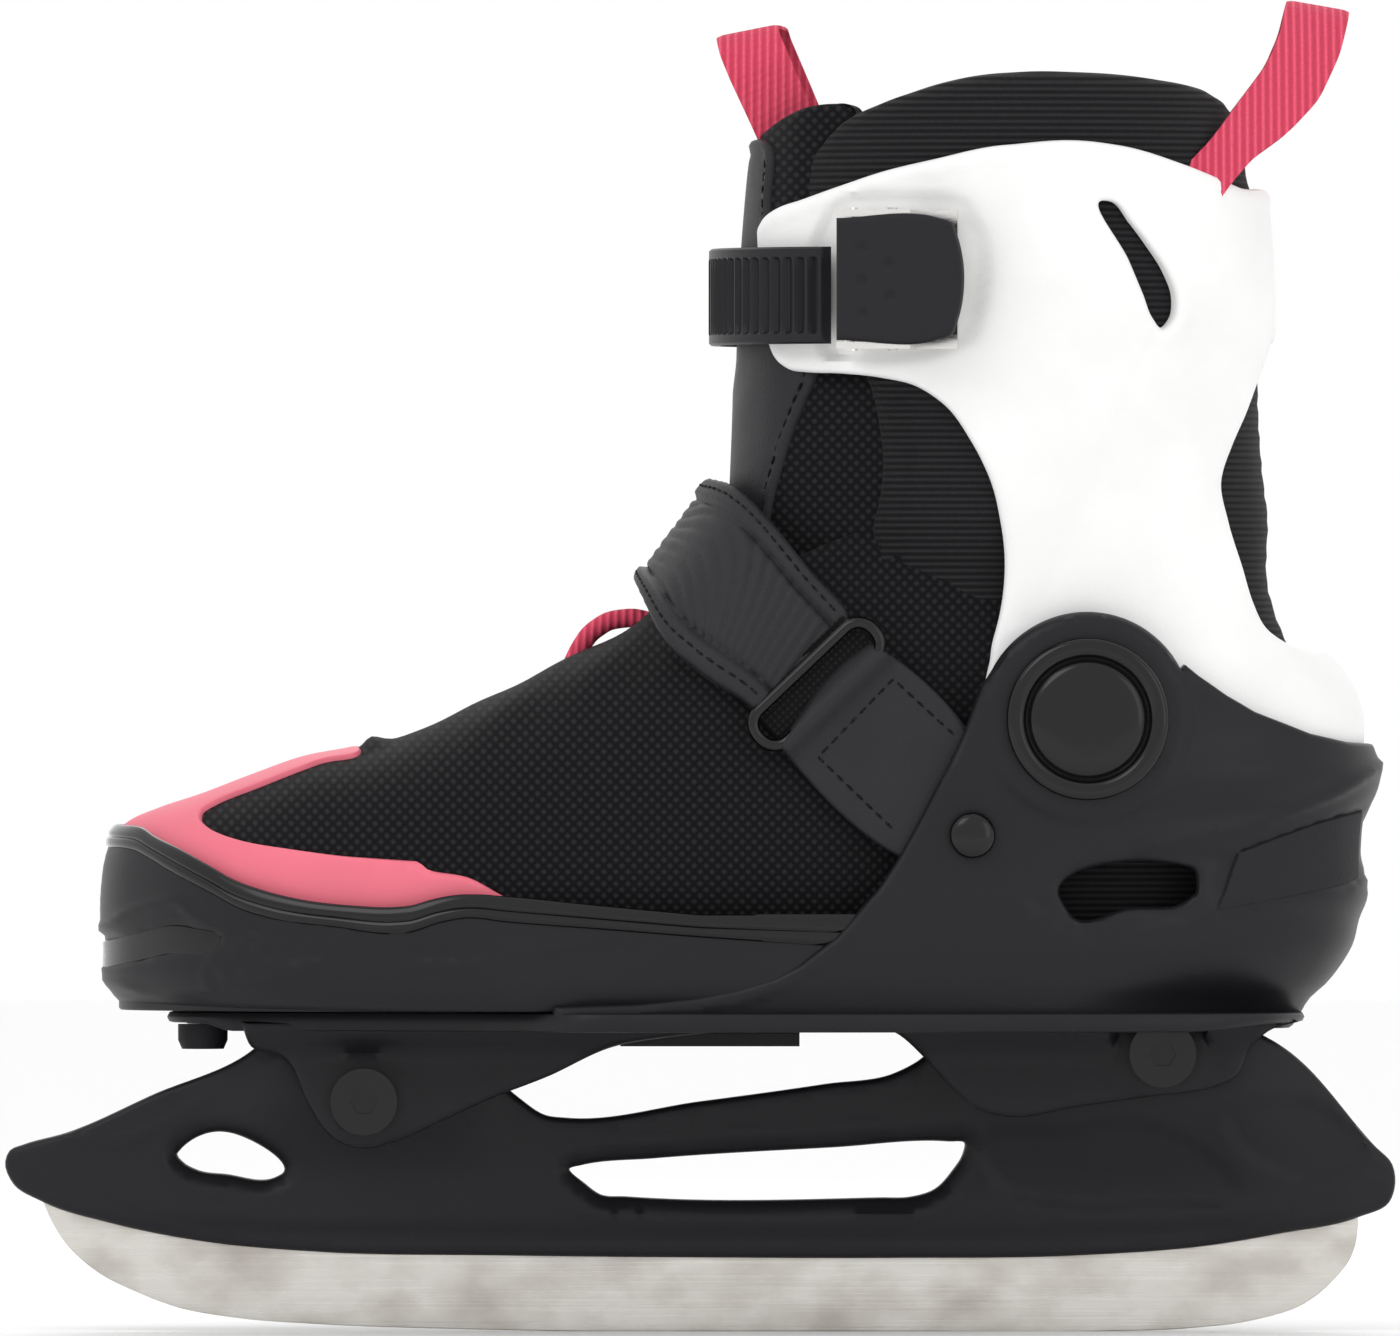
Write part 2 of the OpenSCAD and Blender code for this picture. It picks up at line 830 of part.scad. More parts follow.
module cuff_bushes() {
    color([0.8, 0.8, 0.78])
        both_sides()
            difference() {
                cross_pin(pivot_x, pivot_z, 7.9, -40, -37.2);
                cross_pin(pivot_x, pivot_z, pivot_r + 0.05, -50, -30);
            }
}

module pivot_pins() {
    color("silver")
        both_sides() {
            cross_pin(pivot_x, pivot_z, pivot_r, -46.2, -36.4);
            cross_pin(pivot_x, pivot_z, pivot_r + 2.4, -36.9, -35.9);
        }
}

module pivot_washers() {
    color([0.75, 0.75, 0.72])
        both_sides()
            difference() {
                cross_pin(pivot_x, pivot_z, 12, -42.4, -40.3);
                cross_pin(pivot_x, pivot_z, pivot_r + 0.05, -50, -30);
            }
}

module pivot_cap() {
    color([0.03, 0.03, 0.03])
        difference() {
            cross_pin(pivot_x, pivot_z, cap_r, -49.4, -46.5);
            cross_pin(pivot_x, pivot_z, cap_r - 4.8, -50, -48.8);
        }
}

module pivot_cap_lateral() { pivot_cap(); }
module pivot_cap_medial() { mirror([0, 1, 0]) pivot_cap(); }

// ---- Buckle ----

// Places a piece in the frame of the buckle: x to the rear, -y outwards
module in_buckle() {
    translate([lever_x, lever_y, buckle_z])
        rotate([0, 0, buckle_yaw])
            children();
}

module upright(x, y, r, z0, z1) {
    translate([x, y, z0]) cylinder(r = r, h = z1 - z0);
}

pawl_at = [8.6, -0.2];
side_z = lever_h / 2 + 1.7;
side_t = 1.4;

module buckle_base() {
    color("silver")
        in_buckle()
            difference() {
                union() {
                    translate([-1, 4.1, -side_z]) cube([22, 1, 2 * side_z]);
                    for (s = [-1, 1])
                        translate([-2.4, -2.4, s > 0 ? side_z - side_t : -side_z])
                            cube([15, 7.5, side_t]);
                }
                upright(0, 0, 1.55, -20, 20);
                upright(pawl_at[0], pawl_at[1], 1.05, -20, 20);
                for (s = [-1, 1])
                    translate([17.6, 10, s * 6])
                        rotate([90, 0, 0])
                            cylinder(r = 1.65, h = 20);
            }
}

module buckle_rivets() {
    color("silver")
        in_buckle()
            for (s = [-1, 1])
                translate([17.6, 6.4, s * 6])
                    rotate([90, 0, 0])
                        union() {
                            cylinder(r = 1.6, h = 2.4);
                            translate([0, 0, 2.4]) cylinder(r = 2.6, h = 0.8);
                        }
}

module lever_pin() {
    color("silver")
        in_buckle()
            upright(0, 0, 1.5, -side_z - 0.4, side_z + 0.4);
}

module pawl_pin() {
    color("silver")
        in_buckle()
            upright(pawl_at[0], pawl_at[1], 1, -side_z - 0.4, side_z + 0.4);
}

module buckle_lever() {
    color([0.08, 0.08, 0.09])
        in_buckle()
            difference() {
                union() {
                    translate([0, -3.4, 0])
                        rotate([90, 0, 0])
                            linear_extrude(2)
                                intersection() {
                                    translate([-2, -lever_h / 2]) square([lever_l, lever_h]);
                                    translate([-9, -lever_h / 2]) offset(r = 5) offset(delta = -5)
                                        square([lever_l + 7, lever_h]);
                                }
                    for (z = [-8, 6])
                        translate([0, 0, z])
                            linear_extrude(2)
                                union() {
                                    circle(r = 2.2);
                                    translate([-2, -3.6]) square([4, 3.6]);
                                }
                }
                upright(0, 0, 1.55, -20, 20);
            }
}

module pawl() {
    color("silver")
        in_buckle()
            difference() {
                union() {
                    upright(pawl_at[0], pawl_at[1], 2, -4.6, 4.6);
                    translate([0, 0, -4.6])
                        linear_extrude(9.2)
                            polygon([[8, -1.4], [4.4, 0.2], [3.4, 2], [5.4, 1.7], [8, 1.1]]);
                    translate([9.4, -1.7, -4.6]) cube([3, 1.2, 9.2]);
                }
                upright(pawl_at[0], pawl_at[1], 1.05, -20, 20);
            }
}

ladder_level = [0, 7, 115.6, 44.2];
tooth_from = 168;
tooth_to = 212;
tooth_step = tooth_pitch * 1.4;

module ladder_strap() {
    color([0.1, 0.1, 0.1])
        difference() {
            ladder_body();
            cross_pin(anchor_x, ladder_z, 2.15, 0, 60);
        }
}

module ladder_body() {
        union() {
            translate([0, 0, ladder_z - ladder_h / 2])
                linear_extrude(ladder_h)
                    intersection() {
                        difference() {
                            polygon(leg_ring(ladder_level, 5, 120));
                            polygon(leg_ring(ladder_level, 3.4, 120));
                        }
                        union() {
                            translate([-10, -60]) square([37.6, 60]);
                            translate([-10, 0]) square([54, 60]);
                        }
                    }
            for (a = [tooth_from:tooth_step:tooth_to])
                translate(concat(leg_point(ladder_level, 4.8, a), [ladder_z - 7.6]))
                    rotate([0, 0, a - 0.5 * sin(2 * a) * 24])
                        translate([0, -0.6, 0])
                            cube([1, 1.2, 15.2]);
            translate([lever_x, lever_y, ladder_z - 8.2])
                rotate([0, 0, buckle_yaw])
                    translate([-3.6, 2.5, 0])
                        cube([16, 1.4, 16.4]);
        }
}

module ladder_screw() {
    color("silver")
        union() {
            cross_pin(anchor_x, ladder_z, 2, 38.6, 48);
            cross_pin(anchor_x, ladder_z, 4.4, 47.9, 49.4);
        }
}

blade();
blade_holder();
front_bolt();
rear_bolt();
front_nut();
rear_nut();
heel_shell();
heel_side_panels();
toe_shell();
toe_welt();
toe_bumper();
slide_rail();
size_button();
button_spring();
insole();
liner_lower();
liner_upper();
liner_collar();
tongue_lower();
tongue_upper();
upper_vamp();
upper_quarter();
toe_overlay();
instep_lace();
tongue_loop();
heel_loop();
strap_base();
strap_flap();
strap_ring();
strap_tabs();
strap_rivets();
cuff();
cuff_bushes();
pivot_pins();
pivot_washers();
pivot_cap_lateral();
pivot_cap_medial();
buckle_base();
buckle_rivets();
buckle_lever();
lever_pin();
pawl();
pawl_pin();
ladder_strap();
ladder_screw();
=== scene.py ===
import json
import math
import bmesh
import bpy
import numpy as np
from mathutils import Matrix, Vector
from mathutils.geometry import delaunay_2d_cdt


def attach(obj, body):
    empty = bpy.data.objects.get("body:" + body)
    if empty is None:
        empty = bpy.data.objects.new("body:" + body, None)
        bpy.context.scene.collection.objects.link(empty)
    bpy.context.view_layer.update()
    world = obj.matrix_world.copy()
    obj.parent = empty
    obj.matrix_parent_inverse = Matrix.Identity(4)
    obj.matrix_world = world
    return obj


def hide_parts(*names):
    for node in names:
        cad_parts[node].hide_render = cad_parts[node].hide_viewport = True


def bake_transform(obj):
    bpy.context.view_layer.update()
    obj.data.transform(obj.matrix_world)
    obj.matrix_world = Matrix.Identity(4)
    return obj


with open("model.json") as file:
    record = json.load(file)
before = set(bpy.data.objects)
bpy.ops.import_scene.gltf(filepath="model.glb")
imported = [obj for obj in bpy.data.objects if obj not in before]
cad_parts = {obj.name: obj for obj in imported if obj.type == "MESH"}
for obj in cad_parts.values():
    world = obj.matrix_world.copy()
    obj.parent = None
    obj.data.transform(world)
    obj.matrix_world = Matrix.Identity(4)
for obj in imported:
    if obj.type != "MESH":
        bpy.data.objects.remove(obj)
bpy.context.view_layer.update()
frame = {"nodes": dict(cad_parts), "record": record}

MM = 0.001

# ---------------------------------------------------------------- camera, light

VIEW_WIDTH = 0.280
CAMERA_DISTANCE = 6.0
CAMERA_HEIGHT = 0.1334


def aim(obj, target):
    direction = Vector(target) - obj.location
    obj.rotation_euler = direction.to_track_quat("-Z", "Y").to_euler()


def make_camera():
    data = bpy.data.cameras.new("camera")
    data.sensor_width = 36.0
    data.lens = 36.0 * CAMERA_DISTANCE / VIEW_WIDTH
    data.clip_end = 50.0
    camera = bpy.data.objects.new("camera", data)
    bpy.context.scene.collection.objects.link(camera)
    camera.location = (0.0, -CAMERA_DISTANCE - 0.035, CAMERA_HEIGHT)
    aim(camera, (0.0, 0.0, CAMERA_HEIGHT))
    bpy.context.scene.camera = camera


def area_light(name, place, target, size, power):
    data = bpy.data.lights.new(name, "AREA")
    data.shape = "RECTANGLE"
    data.size = size[0]
    data.size_y = size[1]
    data.energy = power
    light = bpy.data.objects.new(name, data)
    bpy.context.scene.collection.objects.link(light)
    light.location = place
    aim(light, target)


def make_studio():
    world = bpy.data.worlds.new("studio")
    world.use_nodes = True
    background = world.node_tree.nodes["Background"]
    background.inputs["Color"].default_value = (1.0, 1.0, 1.0, 1.0)
    background.inputs["Strength"].default_value = 1.0
    bpy.context.scene.world = world
    middle = (0.0, 0.0, 0.12)
    area_light("key", (-0.75, -1.15, 1.25), middle, (0.9, 0.9), 5.0)
    area_light("fill", (1.05, -1.1, 0.5), middle, (0.8, 1.0), 2.0)
    area_light("back", (0.2, 1.2, 0.9), middle, (1.2, 0.6), 3.0)
    mesh = bpy.data.meshes.new("floor")
    half = 6.0
    mesh.from_pydata([(-half, -half, 0), (half, -half, 0), (half, half, 0), (-half, half, 0)],
                     [], [(0, 1, 2, 3)])
    floor = bpy.data.objects.new("floor", mesh)
    bpy.context.scene.collection.objects.link(floor)
    floor.data.materials.append(plain_look("floor_paint", (0.97, 0.97, 0.97), 0.6))
    view = bpy.context.scene.view_settings
    view.view_transform = "Standard"


# ---------------------------------------------------------------- material tools

def base_look(name, color, rough, metallic=0.0, **sockets):
    mat = bpy.data.materials.new(name)
    mat.use_nodes = True
    shader = mat.node_tree.nodes["Principled BSDF"]
    shader.inputs["Base Color"].default_value = (*color, 1.0)
    shader.inputs["Roughness"].default_value = rough
    shader.inputs["Metallic"].default_value = metallic
    for key, value in sockets.items():
        shader.inputs[key.replace("_", " ")].default_value = value
    return mat, mat.node_tree, shader


def add(tree, kind, inputs, **props):
    """New node; inputs maps a socket's name or index to a value or an output socket."""
    made = tree.nodes.new(kind)
    for key, value in props.items():
        setattr(made, key, value)
    for key, value in inputs.items():
        if isinstance(value, bpy.types.NodeSocket):
            tree.links.new(value, made.inputs[key])
        else:
            made.inputs[key].default_value = value
    return made


def place(tree, scale=(1.0, 1.0, 1.0), turn=(0.0, 0.0, 0.0)):
    """Object coordinates, scaled and turned."""
    coords = tree.nodes.new("ShaderNodeTexCoord").outputs["Object"]
    return add(tree, "ShaderNodeMapping", {"Vector": coords, "Scale": scale, "Rotation": turn}).outputs[0]


def noise(tree, scale, detail=3.0, vector=None, rough=0.5):
    vector = vector or place(tree)
    made = add(tree, "ShaderNodeTexNoise",
               {"Vector": vector, "Scale": scale, "Detail": detail, "Roughness": rough})
    return made.outputs["Fac"]


def ramp(tree, value, low, high, to_low, to_high):
    made = add(tree, "ShaderNodeMapRange",
               {"Value": value, "From Min": low, "From Max": high, "To Min": to_low, "To Max": to_high})
    return made.outputs[0]


def maths(tree, what, a, b=0.0):
    return add(tree, "ShaderNodeMath", {0: a, 1: b}, operation=what).outputs[0]


def mix_color(tree, factor, first, second):
    made = add(tree, "ShaderNodeMix", {}, data_type="RGBA")
    tree.links.new(factor, made.inputs[0])
    made.inputs[6].default_value = (*first, 1.0)
    made.inputs[7].default_value = (*second, 1.0)
    return made.outputs[2]


def bump(tree, shader, height, strength, distance, previous=None):
    inputs = {"Height": height, "Strength": strength, "Distance": distance}
    if previous is not None:
        inputs["Normal"] = previous
    out = add(tree, "ShaderNodeBump", inputs).outputs[0]
    tree.links.new(out, shader.inputs["Normal"])
    return out


def plain_look(name, color, rough):
    """Smooth paint with a slight change in gloss."""
    mat, tree, shader = base_look(name, color, rough)
    spread = ramp(tree, noise(tree, 6.0), 0.3, 0.7, rough - 0.03, rough + 0.03)
    tree.links.new(spread, shader.inputs["Roughness"])
    return mat


def moulded_look(name, color, rough, grain, depth, streak=0.04, **sockets):
    """Moulded plastic with a fine spark-eroded grain and slow changes in gloss."""
    mat, tree, shader = base_look(name, color, rough, **sockets)
    slow = noise(tree, 35.0, 4.0)
    tree.links.new(ramp(tree, slow, 0.3, 0.7, rough - streak, rough + streak), shader.inputs["Roughness"])
    lighter = tuple(min(1.0, c * 1.25 + 0.002) for c in color)
    tree.links.new(mix_color(tree, slow, color, lighter), shader.inputs["Base Color"])
    first = bump(tree, shader, noise(tree, grain, 2.0), 0.5, depth)
    bump(tree, shader, slow, 0.15, depth * 4.0, first)
    return mat


def gloss_look(name, color, rough):
    mat, tree, shader = base_look(name, color, rough, Specular_IOR_Level=0.3, Coat_Weight=0.15,
                                  Coat_Roughness=0.1)
    smear = noise(tree, 90.0, 5.0)
    tree.links.new(ramp(tree, smear, 0.35, 0.75, rough, rough + 0.12), shader.inputs["Roughness"])
    bump(tree, shader, noise(tree, 60.0, 2.0), 0.1, 0.0002)
    return mat


def runner_look():
    """Ground steel, brushed along its length, with faint stains."""
    mat, tree, shader = base_look("runner_steel", (0.62, 0.60, 0.56), 0.3, 1.0, Anisotropic=0.4)
    lines = noise(tree, 1.0, 3.0, place(tree, (25.0, 900.0, 2600.0)))
    stains = noise(tree, 60.0, 5.0, place(tree, (1.0, 1.0, 1.6)))
    tone = mix_color(tree, ramp(tree, stains, 0.4, 0.75, 0.0, 1.0), (0.66, 0.64, 0.60), (0.45, 0.42, 0.38))
    tree.links.new(tone, shader.inputs["Base Color"])
    tree.links.new(ramp(tree, lines, 0.3, 0.7, 0.22, 0.42), shader.inputs["Roughness"])
    bump(tree, shader, lines, 0.25, 0.00006)
    return mat


def metal_look(name, color, rough):
    mat, tree, shader = base_look(name, color, rough, 1.0)
    scratches = noise(tree, 1.0, 4.0, place(tree, (300.0, 300.0, 2500.0)))
    tree.links.new(ramp(tree, scratches, 0.3, 0.8, rough, rough + 0.15), shader.inputs["Roughness"])
    bump(tree, shader, scratches, 0.1, 0.00005)
    return mat


def weave_height(tree, pitch, turn):
    """Two crossing sets of threads, pitch apart."""
    spot = place(tree, (1.0, 1.0, 1.0), turn)
    warp = add(tree, "ShaderNodeTexWave", {"Vector": spot, "Scale": 0.314 / pitch, "Distortion": 0.4,
               "Detail Scale": 40.0}, bands_direction="X").outputs["Fac"]
    weft = add(tree, "ShaderNodeTexWave", {"Vector": spot, "Scale": 0.314 / pitch, "Distortion": 0.4,
               "Detail Scale": 40.0}, bands_direction="Z").outputs["Fac"]
    return maths(tree, "MULTIPLY", warp, weft)


def mesh_look(name, dark, light, pitch, turn=(0.0, 0.0, 0.0), depth=0.0003):
    """Textile with visible crossing threads."""
    mat, tree, shader = base_look(name, dark, 0.85, Specular_IOR_Level=0.15, Sheen_Weight=0.04,
                                  Sheen_Roughness=0.4)
    height = weave_height(tree, pitch, turn)
    tree.links.new(mix_color(tree, height, dark, light), shader.inputs["Base Color"])
    first = bump(tree, shader, height, 0.8, depth)
    bump(tree, shader, noise(tree, 900.0, 2.0), 0.3, 0.0001, first)
    return mat


def rib_look(name, dark, light, pitch, direction, turn=(0.0, 0.0, 0.0), depth=0.0004, rough=0.8):
    """Ribbed cloth or webbing: one strong set of ribs crossed by fine threads."""
    mat, tree, shader = base_look(name, dark, rough, Specular_IOR_Level=0.15, Sheen_Weight=0.04,
                                  Sheen_Roughness=0.4)
    spot = place(tree, (1.0, 1.0, 1.0), turn)
    ribs = add(tree, "ShaderNodeTexWave", {"Vector": spot, "Scale": 0.314 / pitch, "Distortion": 0.5,
               "Detail": 1.0, "Detail Scale": 30.0}, bands_direction=direction).outputs["Fac"]
    threads = noise(tree, 1400.0, 2.0)
    blend = maths(tree, "MULTIPLY", ribs, ramp(tree, threads, 0.3, 0.7, 0.7, 1.0))
    tree.links.new(mix_color(tree, blend, dark, light), shader.inputs["Base Color"])
    first = bump(tree, shader, ribs, 0.8, depth)
    bump(tree, shader, threads, 0.3, 0.0001, first)
    return mat


def leather_look(name, color, rough):
    """Synthetic leather: fine cell grain with slow creases."""
    mat, tree, shader = base_look(name, color, rough, Specular_IOR_Level=0.25)
    cells = add(tree, "ShaderNodeTexVoronoi", {"Vector": place(tree), "Scale": 1100.0},
                feature="DISTANCE_TO_EDGE").outputs["Distance"]
    cells = ramp(tree, cells, 0.0, 0.12, 0.0, 1.0)
    slow = noise(tree, 70.0, 5.0)
    lighter = tuple(c * 1.7 + 0.004 for c in color)
    tree.links.new(mix_color(tree, slow, color, lighter), shader.inputs["Base Color"])
    tree.links.new(ramp(tree, slow, 0.3, 0.7, rough - 0.07, rough + 0.07), shader.inputs["Roughness"])
    first = bump(tree, shader, cells, 0.35, 0.00012)
    bump(tree, shader, slow, 0.3, 0.0007, first)
    return mat


LOOKS = {}


def make_looks():
    LOOKS["steel_runner"] = runner_look()
    LOOKS["black_plastic"] = moulded_look("shell_black", (0.009, 0.008, 0.010), 0.42, 2600.0, 0.00006,
                                         Specular_IOR_Level=0.22)
    LOOKS["grain_plastic"] = moulded_look("shell_grained", (0.012, 0.011, 0.013), 0.62, 1500.0, 0.00025,
                                         Specular_IOR_Level=0.2)
    LOOKS["gloss_black"] = gloss_look("cap_black", (0.002, 0.002, 0.002), 0.10)
    LOOKS["white_cuff"] = moulded_look("cuff_white", (0.75, 0.75, 0.745), 0.5, 2000.0, 0.00009, 0.05)
    LOOKS["zinc_steel"] = metal_look("zinc_steel", (0.55, 0.55, 0.55), 0.32)
    LOOKS["chrome"] = metal_look("nickel_chrome", (0.75, 0.74, 0.72), 0.14)
    LOOKS["nylon"] = moulded_look("nylon_natural", (0.68, 0.67, 0.63), 0.5, 1800.0, 0.00004)
    LOOKS["liner_fabric"] = rib_look("liner_knit", (0.006, 0.006, 0.007), (0.026, 0.026, 0.028), 0.0013, "Z",
                                     depth=0.0005)
    LOOKS["upper_mesh"] = mesh_look("upper_weave", (0.003, 0.003, 0.004), (0.022, 0.022, 0.024), 0.0017,
                                    (0.0, 0.785, 0.0))
    LOOKS["black_leather"] = leather_look("leather_black", (0.011, 0.010, 0.012), 0.5)
    LOOKS["black_webbing"] = mesh_look("webbing_black", (0.004, 0.004, 0.004), (0.018, 0.018, 0.019), 0.0012,
                                       (0.0, 0.761, 0.0))
    LOOKS["pink_overlay"] = moulded_look("overlay_pink", (0.70, 0.135, 0.19), 0.55, 1700.0, 0.00004)
    LOOKS["pink_webbing"] = rib_look("webbing_pink", (0.55, 0.045, 0.09), (0.86, 0.11, 0.19), 0.0016, "X",
                                     depth=0.0005)


def dress_cad_nodes():
    slots = {entry["node"]: entry["material_slot"] for entry in frame["record"]["subparts"]}
    for name, obj in frame["nodes"].items():
        obj.data.materials.clear()
        obj.data.materials.append(LOOKS[slots[name]])


# ---------------------------------------------------------------- outline tools (millimetres)

def smooth_line(points, step=1.0, closed=True):
    """Curve through the points, resampled at about step. A point with a third value is a sharp corner."""
    spots = [np.array(p[:2], float) for p in points]
    sharp = [len(p) > 2 for p in points]
    count = len(spots)
    out = []
    last = count if closed else count - 1
    for i in range(last):
        j = (i + 1) % count
        p1, p2 = spots[i], spots[j]
        before = spots[i - 1] if closed or i > 0 else p1
        after = spots[(i + 2) % count] if closed or i + 2 < count else p2
        span = max(np.linalg.norm(p2 - p1), 1e-6)
        start = p2 - p1
        if not sharp[i] and np.linalg.norm(p1 - before) > 1e-6:
            d0 = np.linalg.norm(p1 - before)
            start = span * ((p1 - before) / d0 - (p2 - before) / (d0 + span) + (p2 - p1) / span)
        end = p2 - p1
        if not sharp[j] and np.linalg.norm(after - p2) > 1e-6:
            d2 = np.linalg.norm(after - p2)
            end = span * ((p2 - p1) / span - (after - p1) / (span + d2) + (after - p2) / d2)
        pieces = max(1, int(math.ceil(span / step)))
        for k in range(pieces):
            t = k / pieces
            h00 = 2 * t ** 3 - 3 * t ** 2 + 1
            h10 = t ** 3 - 2 * t ** 2 + t
            h01 = -2 * t ** 3 + 3 * t ** 2
            h11 = t ** 3 - t ** 2
            out.append(h00 * p1 + h10 * start + h01 * p2 + h11 * end)
    if not closed:
        out.append(spots[-1])
    return np.array(out)


def circle(x, z, r, step=1.0):
    count = max(16, int(2 * math.pi * r / step))
    turn = np.arange(count) * 2 * math.pi / count
    return np.stack([x + r * np.cos(turn), z + r * np.sin(turn)], 1)


def soft_step(value, low, high):
    t = np.clip((value - low) / (high - low), 0.0, 1.0)
    return t * t * (3 - 2 * t)


def table(rows, value):
    """Smooth value from rows of (key, value)."""
    keys = [r[0] for r in rows]
    curve = smooth_line(rows, max(0.5, (keys[-1] - keys[0]) / 200.0), closed=False)
    order = np.argsort(curve[:, 0])
    return np.interp(value, curve[order, 0], curve[order, 1])


def distance_to(spots, chains):
    """Least distance from each spot to the segments of the closed or open chains."""
    starts = np.concatenate([c[0] for c in chains])
    ends = np.concatenate([c[1] for c in chains])
    along = ends - starts
    size = np.maximum((along ** 2).sum(1), 1e-12)
    best = np.empty(len(spots))
    for i in range(0, len(spots), 2000):
        part = spots[i:i + 2000]
        t = ((part[:, None, :] - starts[None]) * along[None]).sum(2) / size
        t = np.clip(t, 0.0, 1.0)
        near = starts[None] + t[..., None] * along[None]
        best[i:i + 2000] = np.sqrt(((part[:, None, :] - near) ** 2).sum(2).min(1))
    return best


def loop_chain(loop):
    return loop, np.roll(loop, -1, axis=0)


def line_chain(line):
    return line[:-1], line[1:]


def line_distance(spots, points, step=1.0, closed=False):
    """Distance from each spot to a smooth line through the points."""
    line = smooth_line(points, step, closed)
    return distance_to(spots, [loop_chain(line) if closed else line_chain(line)])


def inside(spots, loops):
    hit = np.zeros(len(spots), bool)
    for loop in loops:
        a, b = loop_chain(loop)
        for i in range(0, len(spots), 2000):
            x = spots[i:i + 2000, 0][:, None]
            y = spots[i:i + 2000, 1][:, None]
            cross = (a[:, 1] > y) != (b[:, 1] > y)
            rise = np.where(np.abs(b[:, 1] - a[:, 1]) < 1e-12, 1e-12, b[:, 1] - a[:, 1])
            at = a[:, 0] + (y - a[:, 1]) * (b[:, 0] - a[:, 0]) / rise
            hit[i:i + 2000] ^= (np.sum(cross & (x < at), axis=1) % 2).astype(bool)
    return hit


def signed_inside(spots, points, step=1.0):
    """Distance to a smooth closed line, positive inside it."""
    loop = smooth_line(points, step)
    gap = distance_to(spots, [loop_chain(loop)])
    return np.where(inside(spots, [loop]), gap, -gap)


def fill(loops, step, rings=(0.25, 0.8)):
    """Triangles inside the loops. The loops are followed inwards by rings for a rounded edge."""
    chains = [loop_chain(loop) for loop in loops]
    clouds = []
    for loop in loops:
        ahead = np.roll(loop, -1, axis=0) - np.roll(loop, 1, axis=0)
        side = np.stack([-ahead[:, 1], ahead[:, 0]], 1)
        side /= np.maximum(np.linalg.norm(side, axis=1), 1e-9)[:, None]
        for ring in rings:
            for sign in (-1, 1):
                spots = loop + sign * side * ring
                good = inside(spots, loops) & (distance_to(spots, chains) > ring * 0.93)
                clouds.append(spots[good])
    low = np.min([loop.min(0) for loop in loops], axis=0)
    high = np.max([loop.max(0) for loop in loops], axis=0)
    rows = []
    for j, v in enumerate(np.arange(low[1], high[1], step * 0.87)):
        u = np.arange(low[0] + (j % 2) * step / 2, high[0], step)
        rows.append(np.stack([u, np.full_like(u, v)], 1))
    grid = np.concatenate(rows)
    grid = grid[inside(grid, loops)]
    clear = (rings[-1] if rings else 0.0) + 0.45 * step
    grid = grid[distance_to(grid, chains) > clear]
    clouds.append(grid)
    spots = np.concatenate(list(loops) + clouds)
    edges = []
    base = 0
    for loop in loops:
        count = len(loop)
        edges += [(base + i, base + (i + 1) % count) for i in range(count)]
        base += count
    made = delaunay_2d_cdt([Vector(p) for p in spots], edges, [], 0, 1e-5)
    verts = np.array([tuple(v) for v in made[0]])
    faces = np.array([f for f in made[2] if len(f) == 3])
    middle = verts[faces].mean(1)
    faces = faces[inside(middle, loops)]
    a, b, c = verts[faces[:, 0]], verts[faces[:, 1]], verts[faces[:, 2]]
    area = (b[:, 0] - a[:, 0]) * (c[:, 1] - a[:, 1]) - (b[:, 1] - a[:, 1]) * (c[:, 0] - a[:, 0])
    faces = np.where((area < 0)[:, None], faces[:, ::-1], faces)
    faces = faces[np.abs(area) > 1e-7]
    return verts, faces, distance_to(verts, chains)


def both_halves(half, middle=0.0):
    """Half an outline, with its ends on the line u = middle, and its mirror image about that line."""
    return half + [(2 * middle - p[0], *p[1:]) for p in reversed(half[1:-1])]


def over_ridge(half):
    """Foot outline from the ridge down the outer side, and its mirror image on the inner side."""
    return half + [(p[0], -p[1], *p[2:]) for p in reversed(half[1:])]


def side_face(x, z, y):
    """Flat face seen from the side, at y."""
    return np.stack([x, y, z], -1)


def plan_face(x, y, z):
    """Flat face seen from above, at z."""
    return np.stack([x, y, z], -1)


def bead(gap, wide):
    """Smooth bump of height 1 round a line, wide across at about a third of its height."""
    return np.exp(-(gap / wide) ** 2)


def rounding(gap, radius):
    """Loss of height near an edge: radius at the edge itself, none further in."""
    t = radius - np.minimum(gap, radius)
    return radius - np.sqrt(np.maximum(radius ** 2 - t ** 2, 0.0))


def border(faces):
    """Directed edges that belong to one triangle only."""
    seen = {}
    for face in faces:
        for i in range(3):
            a, b = int(face[i]), int(face[(i + 1) % 3])
            if (b, a) in seen:
                del seen[(b, a)]
            else:
                seen[(a, b)] = True
    return list(seen)


# ---------------------------------------------------------------- mesh tools

HARD_EDGE = 48.0


def finish_mesh(name, verts_mm, faces, slot, body, hard=HARD_EDGE):
    """Object from millimetre places; edges over hard degrees stay hard. A blend piece has no body."""
    mesh = bpy.data.meshes.new(name)
    places = [tuple(v) for v in np.asarray(verts_mm) * MM]
    mesh.from_pydata(places, [], [tuple(int(i) for i in f) for f in faces])
    work = bmesh.new()
    work.from_mesh(mesh)
    loose = [v for v in work.verts if not v.link_faces]
    bmesh.ops.delete(work, geom=loose, context="VERTS")
    bmesh.ops.recalc_face_normals(work, faces=work.faces)
    limit = math.radians(hard)
    for face in work.faces:
        face.smooth = True
    for edge in work.edges:
        if len(edge.link_faces) == 2 and edge.calc_face_angle(0.0) > limit:
            edge.smooth = False
    work.to_mesh(mesh)
    work.free()
    obj = bpy.data.objects.new(name, mesh)
    bpy.context.scene.collection.objects.link(obj)
    mesh.materials.append(LOOKS[slot])
    if body is not None:
        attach(obj, body)
    return obj


